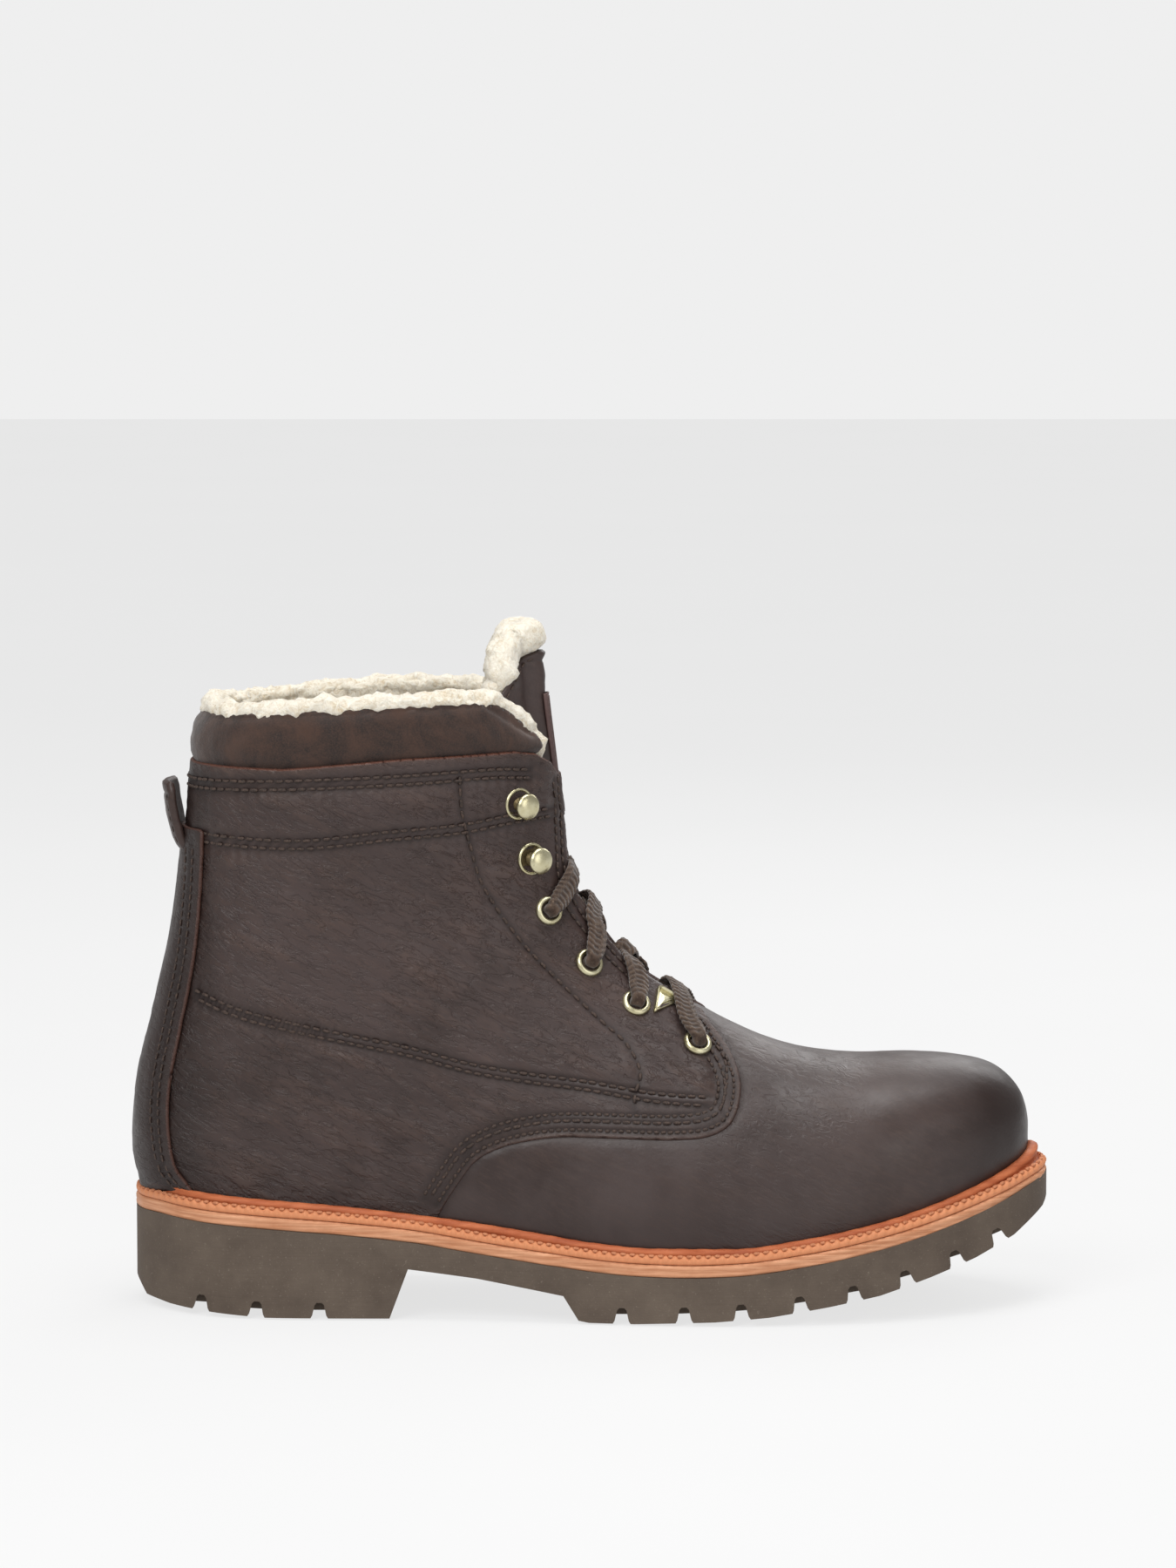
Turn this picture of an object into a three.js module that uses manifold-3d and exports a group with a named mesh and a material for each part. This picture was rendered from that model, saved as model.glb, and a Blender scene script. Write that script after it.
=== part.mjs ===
// Fleece-lined lace-up leather boot, right foot.  Millimetres, +Z up, +X towards the toe, +Y medial.
// Origin: centre of the footprint box, on the ground plane.
import * as THREE from 'three';
import { mergeVertices } from 'three/addons/utils/BufferGeometryUtils.js';
import Module from 'manifold-3d';

const wasm = await Module();
wasm.setup();

// ---------------------------------------------------------------- driving dimensions
const LEATHER = 2.2;            // upper leather thickness
const STIFFENER = 1.7;          // heel counter and toe puff
const LINING_OUT = 4.6;         // depth of the lining's outer face under the upper's face
const LINING_IN = 8.6;          // depth of the lining's inner face
const GAP = 0.35;               // clearance between pieces that touch
const MIDSOLE = 3.8;            // leather midsole thickness
const SOLE_OVERHANG = 5.6;      // sole edge outside the feather line
const WELT_OVERHANG = 5.1;
const FEATHER_DROP = 3.0;       // the upper runs this far below the welt's top
const THROAT_TOP = 4.5;         // half gap between the facings, top
const THROAT_LOW = 8.5;         // half gap between the facings, low
const LUG_DEPTH = 5.0;
const EYELET_R = 4.75, EYELET_HOLE = 2.9;
const TONGUE_HALF = 27;
const LACE_D = 2.2;

// feather line at the welt's top: x, lateral y, medial y, z
const FE = [
  [-149.6, 0.0, 0.0, 42.2], [-147.5, -9.0, 8.6, 41.8], [-141.0, -18.5, 17.6, 41.2], [-132.0, -27.0, 25.6, 40.4],
  [-118.0, -33.8, 32.2, 39.4], [-100.0, -36.8, 35.2, 38.2], [-83.9, -37.4, 35.6, 36.9], [-59.9, -37.6, 34.6, 34.2],
  [-42.0, -38.6, 32.6, 32.0], [-17.9, -42.0, 31.6, 28.6], [0.0, -45.2, 33.6, 26.0], [20.3, -48.0, 38.2, 24.5],
  [46.6, -49.4, 45.0, 24.6], [68.9, -47.8, 47.8, 27.4], [90.9, -43.2, 46.6, 31.4], [108.0, -37.0, 42.2, 35.8],
  [121.0, -30.0, 36.2, 40.0], [131.5, -22.2, 28.4, 44.0], [139.5, -13.6, 18.6, 47.8], [144.2, -6.0, 8.6, 51.0],
  [145.5, 0.0, 0.0, 52.6]];
// top of the rubber outsole: x, z
const RUBBER_TOP = [[-155, 31.2], [-143.8, 31.4], [-132, 30.8], [-107.9, 29.4], [-83.9, 27.7], [-59.9, 25.2], [-35.9, 21.4],
  [-11.9, 18.2], [12.2, 15.8], [30, 15.3], [46.6, 15.9], [68.9, 18.7], [90.9, 22.8], [113.2, 28.6], [129.7, 34.0],
  [140.9, 38.4], [152.5, 43.6]];
// sections of the upper, from the toe round the instep to the collar:
// front x, z; back or bottom x, z (null: on the feather line); half widths lateral, medial; place of the widest point; exponents
const N = null;
const ST = [
  [145.5, 52.4, 145.5, N, 0.01, 0.01, .60, 2.2, 2.2], [144.8, 62.5, 143.2, N, 9.6, 12.8, .62, 2.2, 2.2],
  [141.6, 71.0, 138.6, N, 17.6, 22.6, .66, 2.25, 2.2], [133.6, 77.8, 130.4, N, 25.8, 31.8, .68, 2.3, 2.2],
  [121.5, 80.6, 118.6, N, 34.0, 39.8, .69, 2.3, 2.2], [105.5, 81.5, 102.8, N, 41.4, 45.8, .70, 2.3, 2.2],
  [86.5, 81.3, 83.0, N, 46.9, 49.4, .72, 2.25, 2.2], [66.5, 84.2, 60.0, N, 49.6, 49.2, .76, 2.15, 2.2],
  [46.3, 92.2, 34.0, N, 49.8, 44.6, .80, 2.0, 2.2], [27.6, 104.4, 4.0, N, 46.8, 38.0, .82, 1.9, 2.2],
  [12.9, 115.9, -30.0, N, 41.8, 36.0, .80, 1.85, 2.3], [3.0, 128.6, -68.0, N, 38.8, 36.4, .72, 1.85, 2.5],
  [-4.3, 140.6, -105.0, N, 37.6, 36.4, .64, 1.9, 2.7], [-7.2, 150.0, -134.0, N, 37.0, 36.0, .60, 1.95, 2.8],
  [-8.8, 159.0, -149.8, 43.0, 36.4, 35.6, .57, 2.0, 2.8], [-10.0, 168.0, -150.6, 70.0, 36.0, 35.4, .55, 2.05, 2.7],
  [-11.0, 177.0, -144.6, 97.0, 36.0, 35.4, .54, 2.1, 2.5], [-12.0, 185.5, -138.6, 124.0, 36.6, 36.0, .53, 2.15, 2.4],
  [-13.0, 193.5, -135.2, 150.0, 37.4, 36.8, .52, 2.2, 2.35], [-13.8, 200.5, -133.8, 175.0, 38.0, 37.4, .52, 2.2, 2.35],
  [-14.4, 206.0, -131.2, 194.5, 38.4, 37.8, .52, 2.2, 2.35], [-14.8, 211.0, -129.6, 208.0, 38.4, 37.8, .52, 2.2, 2.35]];
const U_HEEL = 14;              // first section that closes at the back

// ---------------------------------------------------------------- curves
function pchip(T, c, x) {
  const n = T.length, h = [], d = [], m = new Array(n).fill(0);
  for (let k = 0; k < n - 1; k++) { h.push(T[k + 1][0] - T[k][0]); d.push((T[k + 1][c] - T[k][c]) / h[k]); }
  for (let k = 1; k < n - 1; k++) if (d[k - 1] * d[k] > 0) {
    const a = 2 * h[k] + h[k - 1], b = h[k] + 2 * h[k - 1];
    m[k] = (a + b) / (a / d[k - 1] + b / d[k]);
  }
  m[0] = d[0]; m[n - 1] = d[n - 2];
  let i = 0; while (i < n - 2 && x >= T[i + 1][0]) i++;
  const t = Math.min(1, Math.max(0, (x - T[i][0]) / h[i])), t2 = t * t, t3 = t2 * t;
  return (2 * t3 - 3 * t2 + 1) * T[i][c] + (t3 - 2 * t2 + t) * h[i] * m[i] + (3 * t2 - 2 * t3) * T[i + 1][c] + (t3 - t2) * h[i] * m[i + 1];
}
const featherZ = (x) => pchip(FE, 3, Math.min(Math.max(x, FE[0][0]), FE[FE.length - 1][0]));
const rubberZ = (x) => pchip(RUBBER_TOP, 1, x);

const TS = ST.map((r) => r.map((v, k) => (v === null ? featherZ(r[2]) - FEATHER_DROP : v)));
const EXT = [TS[0].map((v, k) => 2 * v - TS[1][k]), ...TS, TS[TS.length - 1].map((v, k) => 2 * v - TS[TS.length - 2][k])];
function station(u) {
  const i = Math.min(Math.max(Math.floor(u), 0), TS.length - 2), t = u - i, t2 = t * t, t3 = t2 * t;
  return TS[0].map((_, k) => {
    const a = EXT[i][k], b = EXT[i + 1][k], c = EXT[i + 2][k], d = EXT[i + 3][k];
    return (2 * t3 - 3 * t2 + 1) * b + (t3 - 2 * t2 + t) * (c - a) / 2 + (3 * t2 - 2 * t3) * c + (t3 - t2) * (d - b) / 2;
  });
}
// one side of a section as n points evenly spaced along it, from the front centre to the end
function section(u, side, n) {
  let [xf, zf, xb, zb, wl, wm, m, nt, nb] = station(u);
  let w = Math.max(side < 0 ? wl : wm, 0.01), ye = 0;
  if (u < U_HEEL) {
    xb = Math.min(Math.max(xb, FE[0][0]), FE[FE.length - 1][0]);
    ye = Math.abs(pchip(FE, side < 0 ? 1 : 2, xb));
    zb = featherZ(xb) - FEATHER_DROP;
  }
  w = Math.max(w, ye * 1.005 + 0.01);
  const e = Math.min(ye / w, 0.999), S = [], Y = [], K = 48;
  for (let k = 0; k <= K; k++) {
    const a = Math.PI / 2 * k / K;
    S.push(m * (1 - Math.max(Math.cos(a), 0) ** (2 / nt))); Y.push(w * Math.sin(a) ** (2 / nt));
  }
  const pe = Math.acos(Math.min(e ** (nb / 2), 1)), q = Math.max(Math.sin(pe) ** (2 / nb), 1e-9);
  for (let k = 1; k <= K; k++) {
    const b = pe * k / K;
    S.push(Math.min(1, m + (1 - m) * Math.sin(b) ** (2 / nb) / q)); Y.push(w * Math.max(Math.cos(b), 0) ** (2 / nb));
  }
  Y[Y.length - 1] = ye;
  const P = S.map((s, k) => [xf + (xb - xf) * s, side * Y[k], zf + (zb - zf) * s]);
  const D = [0];
  for (let k = 1; k < P.length; k++) D.push(D[k - 1] + Math.hypot(P[k][0] - P[k - 1][0], P[k][1] - P[k - 1][1], P[k][2] - P[k - 1][2]));
  const out = []; let j = 0;
  for (let k = 0; k < n; k++) {
    const t = D[D.length - 1] * k / (n - 1);
    while (j < D.length - 2 && D[j + 1] < t) j++;
    const f = D[j + 1] > D[j] ? Math.min(1, (t - D[j]) / (D[j + 1] - D[j])) : 0;
    out.push([0, 1, 2].map((c) => P[j][c] + (P[j + 1][c] - P[j][c]) * f));
  }
  return out;
}
// row of the surface at u: lateral end ... front centre ... medial end
const row = (u, n) => [...section(u, -1, n).reverse(), ...section(u, 1, n).slice(1)];
const sub = (a, b) => [a[0] - b[0], a[1] - b[1], a[2] - b[2]];
const add = (a, b, k = 1) => [a[0] + b[0] * k, a[1] + b[1] * k, a[2] + b[2] * k];
const cross = (a, b) => [a[1] * b[2] - a[2] * b[1], a[2] * b[0] - a[0] * b[2], a[0] * b[1] - a[1] * b[0]];
const unit = (a) => { const l = Math.hypot(...a) || 1; return [a[0] / l, a[1] / l, a[2] / l]; };
const EPS_U = 0.04;
function rowN(u, n) {
  const A = row(Math.max(u - EPS_U, 0.001), n), B = row(Math.min(u + EPS_U, TS.length - 1), n), C = row(u, n), L = C.length;
  const R = C.map((p, j) => {
    const du = sub(B[j], A[j]), dt = sub(C[Math.min(j + 1, L - 1)], C[Math.max(j - 1, 0)]);
    return unit(cross(dt, du));
  });
  if (u >= U_HEEL - 0.001) R[0] = R[L - 1] = unit([R[0][0] + R[L - 1][0], 0, R[0][2] + R[L - 1][2]]);
  R[(L - 1) / 2] = unit([R[(L - 1) / 2][0], 0, R[(L - 1) / 2][2]]);
  return [C, R];
}

// ---------------------------------------------------------------- mesh helpers
function geometry(V, T) {
  const g = new THREE.BufferGeometry();
  g.setAttribute('position', new THREE.BufferAttribute(new Float32Array(V.flat()), 3));
  g.setIndex(T.flat());
  return g;
}
function clean(g) {            // weld, drop collapsed triangles
  g.deleteAttribute('normal'); g.deleteAttribute('uv');
  if (!g.index) g.setIndex([...Array(g.attributes.position.count).keys()]);
  g = mergeVertices(g, 1e-3);
  const I = g.index.array, out = [];
  for (let k = 0; k < I.length; k += 3) if (I[k] !== I[k + 1] && I[k + 1] !== I[k + 2] && I[k] !== I[k + 2]) out.push(I[k], I[k + 1], I[k + 2]);
  g.setIndex(out);
  return g;
}
function volume(g) {
  const p = g.attributes.position.array, I = g.index.array; let v = 0;
  for (let k = 0; k < I.length; k += 3) {
    const [a, b, c] = [I[k] * 3, I[k + 1] * 3, I[k + 2] * 3];
    v += p[a] * (p[b + 1] * p[c + 2] - p[b + 2] * p[c + 1]) - p[a + 1] * (p[b] * p[c + 2] - p[b + 2] * p[c]) + p[a + 2] * (p[b] * p[c + 1] - p[b + 1] * p[c]);
  }
  return v / 6;
}
function outward(g) {
  g = clean(g);
  if (volume(g) < 0) { const I = g.index.array; for (let k = 0; k < I.length; k += 3) [I[k], I[k + 1]] = [I[k + 1], I[k]]; }
  return g;
}
function solid(g) {
  g = outward(g);
  return new wasm.Manifold(new wasm.Mesh({ numProp: 3, vertProperties: new Float32Array(g.attributes.position.array), triVerts: new Uint32Array(g.index.array) }));
}
function fromSolid(s) {
  const m = s.getMesh(), g = new THREE.BufferGeometry();
  g.setAttribute('position', new THREE.BufferAttribute(new Float32Array(m.vertProperties), 3));
  g.setIndex([...m.triVerts]);
  return g;
}
function biggest(s) {          // keeps the largest body of a cut
  const parts = s.decompose();
  return parts.reduce((a, b) => (b.volume() > a.volume() ? b : a));
}
// thick shell over rows us, columns j0..j1, between depths d0 (outer) and d1 (inner)
function shell(us, n, d0, d1, j0 = 0, j1 = 2 * n - 2) {
  const V = [], T = [], W = j1 - j0 + 1, id = (i, j, s) => (i * W + j) * 2 + s;
  for (const u of us) {
    const [C, R] = rowN(u, n);
    for (let j = j0; j <= j1; j++) {
      let nn = R[j];
      if (u < 0.02) nn = unit([1, 0, -0.1]);
      V.push(add(C[j], nn, -d0), add(C[j], nn, -d1));
    }
  }
  const quad = (a, b, c, d) => T.push([a, b, c], [a, c, d]);
  const I = us.length - 1, full = j0 === 0 && j1 === 2 * n - 2;
  for (let i = 0; i < I; i++) for (let j = 0; j < W - 1; j++) {
    quad(id(i, j, 0), id(i, j + 1, 0), id(i + 1, j + 1, 0), id(i + 1, j, 0));
    quad(id(i, j, 1), id(i + 1, j, 1), id(i + 1, j + 1, 1), id(i, j + 1, 1));
  }
  for (let j = 0; j < W - 1; j++) {
    quad(id(0, j, 0), id(0, j, 1), id(0, j + 1, 1), id(0, j + 1, 0));
    quad(id(I, j, 0), id(I, j + 1, 0), id(I, j + 1, 1), id(I, j, 1));
  }
  for (let i = 0; i < I; i++) if (!(full && us[i] >= U_HEEL)) {
    quad(id(i, 0, 0), id(i + 1, 0, 0), id(i + 1, 0, 1), id(i, 0, 1));
    quad(id(i, W - 1, 0), id(i, W - 1, 1), id(i + 1, W - 1, 1), id(i + 1, W - 1, 0));
  }
  return geometry(V, T);
}
// prism along Y from an outline in (x, z)
function prismY(pts, y0, y1) {
  const s = new THREE.Shape(pts.map(([x, z]) => new THREE.Vector2(x, z)));
  const g = new THREE.ExtrudeGeometry(s, { depth: y1 - y0, bevelEnabled: false, steps: 1 });
  g.rotateX(Math.PI / 2);      // shape y -> +z, depth -> -y
  g.translate(0, y1, 0);
  return g;
}
function prismZ(pts, z0, z1) {
  const s = new THREE.Shape(pts.map(([x, y]) => new THREE.Vector2(x, y)));
  const g = new THREE.ExtrudeGeometry(s, { depth: z1 - z0, bevelEnabled: false, steps: 1 });
  g.translate(0, 0, z0);
  return g;
}
function grow(pts, d) {        // moves an outline outwards by d
  let a = 0; for (let k = 0; k < pts.length; k++) { const p = pts[k], q = pts[(k + 1) % pts.length]; a += p[0] * q[1] - q[0] * p[1]; }
  const s = a > 0 ? 1 : -1;
  return pts.map((p, k) => {
    const q = pts[(k + pts.length - 1) % pts.length], r = pts[(k + 1) % pts.length];
    const e1 = unit([p[0] - q[0], p[1] - q[1], 0]), e2 = unit([r[0] - p[0], r[1] - p[1], 0]);
    const n1 = [e1[1] * s, -e1[0] * s], n2 = [e2[1] * s, -e2[0] * s], m = unit([n1[0] + n2[0], n1[1] + n2[1], 0]);
    const c = Math.max(0.5, m[0] * n1[0] + m[1] * n1[1]);
    return [p[0] + m[0] * d / c, p[1] + m[1] * d / c];
  });
}
// footprint outline: feather line moved outwards by d, n points
function outline(d, n) {
  const K = 240, P = [];
  for (const side of [1, 2]) for (let k = 0; k < K; k++) {
    const a = Math.PI * k / K, c = (FE[0][0] + FE[FE.length - 1][0]) / 2, h = (FE[FE.length - 1][0] - FE[0][0]) / 2;
    const x = side === 1 ? c - h * Math.cos(a) : c + h * Math.cos(a);
    P.push([x, pchip(FE, side, x)]);
  }
  const L = P.length, O = P.map((p, k) => {
    const w = 5, e = unit([P[(k + w) % L][0] - P[(k + L - w) % L][0], P[(k + w) % L][1] - P[(k + L - w) % L][1], 0]);
    // the sole's edge stands out less round the heel and a little more at the toe
    const st = (t) => { t = Math.min(1, Math.max(0, t)); return t * t * (3 - 2 * t); };
    const k2 = d > 2.5 ? d * (1 - 0.46 * st((-118 - p[0]) / 30) + 0.14 * st((p[0] - 122) / 22)) : d;
    return [p[0] + e[1] * k2, p[1] - e[0] * k2, p[0]];
  });
  const D = [0]; for (let k = 1; k <= L; k++) D.push(D[k - 1] + Math.hypot(O[k % L][0] - O[k - 1][0], O[k % L][1] - O[k - 1][1]));
  const out = []; let j = 0;
  for (let k = 0; k < n; k++) {
    const t = D[L] * k / n; while (j < L - 1 && D[j + 1] < t) j++;
    const f = (t - D[j]) / (D[j + 1] - D[j]), a = O[j], b = O[(j + 1) % L];
    out.push([a[0] + (b[0] - a[0]) * f, a[1] + (b[1] - a[1]) * f, a[2] + (b[2] - a[2]) * f]);
  }
  return out;
}
// plate whose faces follow z0(x), z1(x), over the feather outline moved by d, between x limits
function plate(d, z0, z1, xa = -400, xb = 400, steps = 26) {
  const o = outline(d, 200), x0 = Math.max(xa, Math.min(...o.map((p) => p[0])) + 0.02), x1 = Math.min(xb, Math.max(...o.map((p) => p[0])) - 0.02);
  const cut = (x) => {
    let lo = 1e9, hi = -1e9;
    for (let k = 0; k < o.length; k++) {
      const p = o[k], q = o[(k + 1) % o.length];
      if ((p[0] - x) * (q[0] - x) <= 0 && p[0] !== q[0]) { const y = p[1] + (q[1] - p[1]) * (x - p[0]) / (q[0] - p[0]); lo = Math.min(lo, y); hi = Math.max(hi, y); }
    }
    return [lo, hi];
  };
  const V = [], T = [], c = (x0 + x1) / 2, h = (x1 - x0) / 2;
  for (let k = 0; k <= steps; k++) {
    const x = c - h * Math.cos(Math.PI * k / steps) * (1 - 0.0) , [a, b] = cut(Math.min(Math.max(x, x0), x1));
    V.push([x, a, z0(x)], [x, b, z0(x)], [x, b, z1(x)], [x, a, z1(x)]);
  }
  const quad = (a, b, c2, d2) => T.push([a, b, c2], [a, c2, d2]);
  for (let k = 0; k < steps; k++) for (let s = 0; s < 4; s++) quad(k * 4 + s, k * 4 + (s + 1) % 4, k * 4 + 4 + (s + 1) % 4, k * 4 + 4 + s);
  quad(3, 2, 1, 0); const e = steps * 4; quad(e, e + 1, e + 2, e + 3);
  return geometry(V, T);
}
const lerpRange = (a, b, n) => Array.from({ length: n + 1 }, (_, k) => a + (b - a) * k / n);

const boot = new THREE.Group();
boot.name = 'boot';
const LOOK = {
  rubber: [0x5a4d43, 0.85, 0], leatherEdge: [0xc98a5c, 0.7, 0], welt: [0xb4552c, 0.6, 0], cork: [0xa9814f, 0.95, 0],
  steel: [0x9a9c9e, 0.35, 1], board: [0x8d7456, 0.9, 0], fleece: [0xeee6d2, 1, 0], leather: [0x3d2d2b, 0.5, 0],
  suede: [0x3a2923, 0.95, 0], stiff: [0x77706a, 0.9, 0], brass: [0x9c9568, 0.35, 1], lace: [0x3d2c22, 0.95, 0] };
function piece(name, g, look) {
  g = outward(g);
  g.computeVertexNormals();
  const [color, roughness, metalness] = LOOK[look];
  const m = new THREE.Mesh(g, new THREE.MeshStandardMaterial({ color, roughness, metalness, flatShading: true }));
  m.name = name;
  boot.add(m);
  return m;
}

// ---------------------------------------------------------------- sole
const underX = lerpRange(-158, 156, 30);
// side profile of the rubber: top follows the rubber line, bottom carries heel, waist and toe spring
const lugBase = [[-150.6, 6.2], [-148.2, 3.0], [-128, 1.2], [-108, 0], [-66.6, 0], [-60.5, 16.4], [-38, 13.6], [-22, 10.8], [-9.5, 8.6], [-4.5, 0.6], [-1, 0], [14, 0], [40, 0.9],
  [57.8, 2.4], [77.7, 5.5], [94.3, 8.5], [110.8, 13.4], [126.5, 18.6], [139.8, 24.5], [150.2, 32.0], [153.2, 36.5]];
const soleSide = [...lugBase, ...lerpRange(153.2, -152.5, 24).map((x) => [x, rubberZ(x) - 0.3])];
let sole = solid(prismY(soleSide, -80, 80)).intersect(solid(prismZ(outline(SOLE_OVERHANG + 0.3, 56).map((p) => [p[0], p[1]]), -10, 90)));
// notches that run in from both edges between the lugs
const bottomAt = (x) => { for (let k = 0; k < lugBase.length - 1; k++) if (x >= lugBase[k][0] && x <= lugBase[k + 1][0]) return lugBase[k][1] + (lugBase[k + 1][1] - lugBase[k][1]) * (x - lugBase[k][0]) / (lugBase[k + 1][0] - lugBase[k][0]); return 0; };
const NOTCH = [-129.1, -110.6, -89.7, 9.6, 30.1, 48.9, 68.3, 86, 103.6, 120.4, 135.1];
const oSole = outline(SOLE_OVERHANG + 0.3, 200);
const edgeY = (x, s) => { let best = 0; for (const p of oSole) if (Math.abs(p[0] - x) < 2.2 && p[1] * s > 0) best = Math.max(best, Math.abs(p[1])); return best; };
for (const x of NOTCH) {
  const z = bottomAt(x), slope = (bottomAt(x + 3) - bottomAt(x - 3)) / 6, t = Math.atan(slope);
  const pts = [[-2.9, -3], [2.9, -3], [1.5, LUG_DEPTH], [-1.4, LUG_DEPTH]].map(([a, b]) => [x + a * Math.cos(t) - b * Math.sin(t), z + a * Math.sin(t) + b * Math.cos(t)]);
  for (const s of [-1, 1]) {
    const e = edgeY(x, s), depth = x < -60 ? 15 : 17;
    sole = sole.subtract(solid(s < 0 ? prismY(pts, -90, -(e - depth)) : prismY(pts, e - depth, 90)));
  }
}
// recessed middle of the tread, with studs left standing
const recess = (xa, xb, inset, zTop) => solid(prismZ(outline(SOLE_OVERHANG - inset, 44).map((p) => [p[0], p[1]]), -10, 90))
  .intersect(solid(prismY([...lerpRange(xa, xb, 12).map((x) => [x, bottomAt(x) + zTop]), [xb, -12], [xa, -12]], -80, 80)));
const studs = [];
for (const [x, y, a, b] of [[24, -3, 9, 9], [44, -2, 10, 12], [64, 1, 10, 13], [84, 3, 10, 12], [103, 4, 9, 9], [-118, 0, 8, 8], [-96, 0, 9, 9], [-79, 0, 8, 6]])
  studs.push(solid(prismZ([[x - a, y], [x - a * .35, y - b * .35], [x, y - b], [x + a * .35, y - b * .35], [x + a, y], [x + a * .35, y + b * .35], [x, y + b], [x - a * .35, y + b * .35]].map(([p, q]) => [x + (p - x) * .8, q]), -20, 90)));
const studAll = studs.reduce((a, b) => a.add(b));
sole = sole.subtract(recess(12, 120, 21, 4).subtract(studAll)).subtract(recess(-131, -72, 20, 4).subtract(studAll));
piece('outsole', fromSolid(biggest(sole)), 'rubber');
piece('midsole', plate(SOLE_OVERHANG, (x) => rubberZ(x), (x) => rubberZ(x) + MIDSOLE, -400, 400, 30), 'leatherEdge');
{ // storm welt: a closed ring of four-sided section
  const n = 60, o = outline(WELT_OVERHANG, n), V = [], T = [];
  for (const p of o) {
    const f = outlineAt(p, WELT_OVERHANG);
    V.push([p[0], p[1], rubberZ(p[0]) + MIDSOLE + GAP], [p[0], p[1], rubberZ(p[0]) + MIDSOLE + 2.9], [f[0], f[1], featherZ(p[2])], [f[0], f[1], rubberZ(f[0]) + MIDSOLE + GAP]);
  }
  for (let k = 0; k < n; k++) for (let s = 0; s < 4; s++) {
    const a = k * 4 + s, b = k * 4 + (s + 1) % 4, c = ((k + 1) % n) * 4 + (s + 1) % 4, d = ((k + 1) % n) * 4 + s;
    T.push([a, b, c], [a, c, d]);
  }
  piece('storm_welt', geometry(V, T), 'welt');
}
function outlineAt(p, d) {     // the inner edge point that belongs to an outer edge point
  const o = outlineAt.o ??= outline(2.2, 400);
  let best = o[0], bd = 1e9; for (const q of o) { const e = Math.hypot(q[0] - p[0], q[1] - p[1]); if (e < bd) { bd = e; best = q; } }
  return best;
}
const shankBox = (g) => prismY([...lerpRange(-96 - g, -4 + g, 8).map((x) => [x, rubberZ(x) + MIDSOLE + 0.65 - g]), ...lerpRange(-4 + g, -96 - g, 8).map((x) => [x, rubberZ(x) + MIDSOLE + 1.65 + g])], -8 - g, 8 + g);
piece('steel_shank', shankBox(0), 'steel');
piece('cork_filler', fromSolid(solid(plate(-4.6, (x) => rubberZ(x) + MIDSOLE + 0.32, (x) => featherZ(x) - 2.7, -142, 138, 20)).subtract(solid(shankBox(0.3)))), 'cork');
piece('insole_board', plate(-5.2, (x) => featherZ(x) - 2.4, (x) => featherZ(x) - 1.1, -400, 400, 20), 'board');
piece('footbed', plate(-11.8, (x) => featherZ(x) - 0.5, (x) => featherZ(x) + 4.5, -400, 127, 18), 'fleece');

// ---------------------------------------------------------------- upper
const NT = 11;                  // columns on each side
const US = [0, 0.5, 1, 1.6, 2.4, 3.2, 4.2, 5.4, 6.6, 7.8, 9, 10, 11, 12, 13, 14, 15, 16, 17.3, 18.7, 20, 21];
const leather = solid(shell(US, NT, 0, LEATHER));
const quarterLine = [[34.1, 99.4], [40.8, 91.9], [47.6, 85.4], [48.6, 78.1], [47.2, 70.9], [44.6, 65.5], [39.5, 61.9], [28.2, 60.3], [8, 60.4], [-10, 60.5], [-20.6, 59.2],
  [-30, 57.4], [-41.9, 52.3], [-47.4, 44], [-52.8, 35.7], [-57, 22]];
const quarterTop = [[-133, 180.4], [-101.6, 179.8], [-62.3, 183.3], [-25.8, 184.6], [-16.9, 183.1], [-11.6, 177.2], [-5, 172]];
const quarterOutline = [...quarterLine, [-175, 22], [-175, 180.4], ...quarterTop, [34, 150], [38, 106]];
// wedge between the facings: a loft along the front centre
function throat(us, half, out, into) {
  const V = [], T = [];
  for (const u of us) {
    const s = station(u), a = unit([s[2] - s[0], 0, s[3] - s[1]]), h = half(u), p = [s[0], 0, s[1]];
    V.push(add([p[0], -h, p[2]], a, -out), add([p[0], h, p[2]], a, -out), add([p[0], h, p[2]], a, into), add([p[0], -h, p[2]], a, into));
  }
  const quad = (a, b, c, d) => T.push([a, b, c], [a, c, d]), I = us.length - 1;
  for (let k = 0; k < I; k++) for (let s = 0; s < 4; s++) quad(k * 4 + s, k * 4 + (s + 1) % 4, k * 4 + 4 + (s + 1) % 4, k * 4 + 4 + s);
  quad(3, 2, 1, 0); quad(I * 4, I * 4 + 1, I * 4 + 2, I * 4 + 3);
  return geometry(V, T);
}
const halfGap = (u) => (u < 9.5 ? 6.5 + (u - 8) / 1.5 * 2 : u < 12 ? THROAT_LOW : u < 14 ? THROAT_LOW + (THROAT_TOP - THROAT_LOW) * (u - 12) / 2 : THROAT_TOP);
const throatCut = solid(throat(lerpRange(8.6, 21, 20), halfGap, 14, 16));

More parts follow.
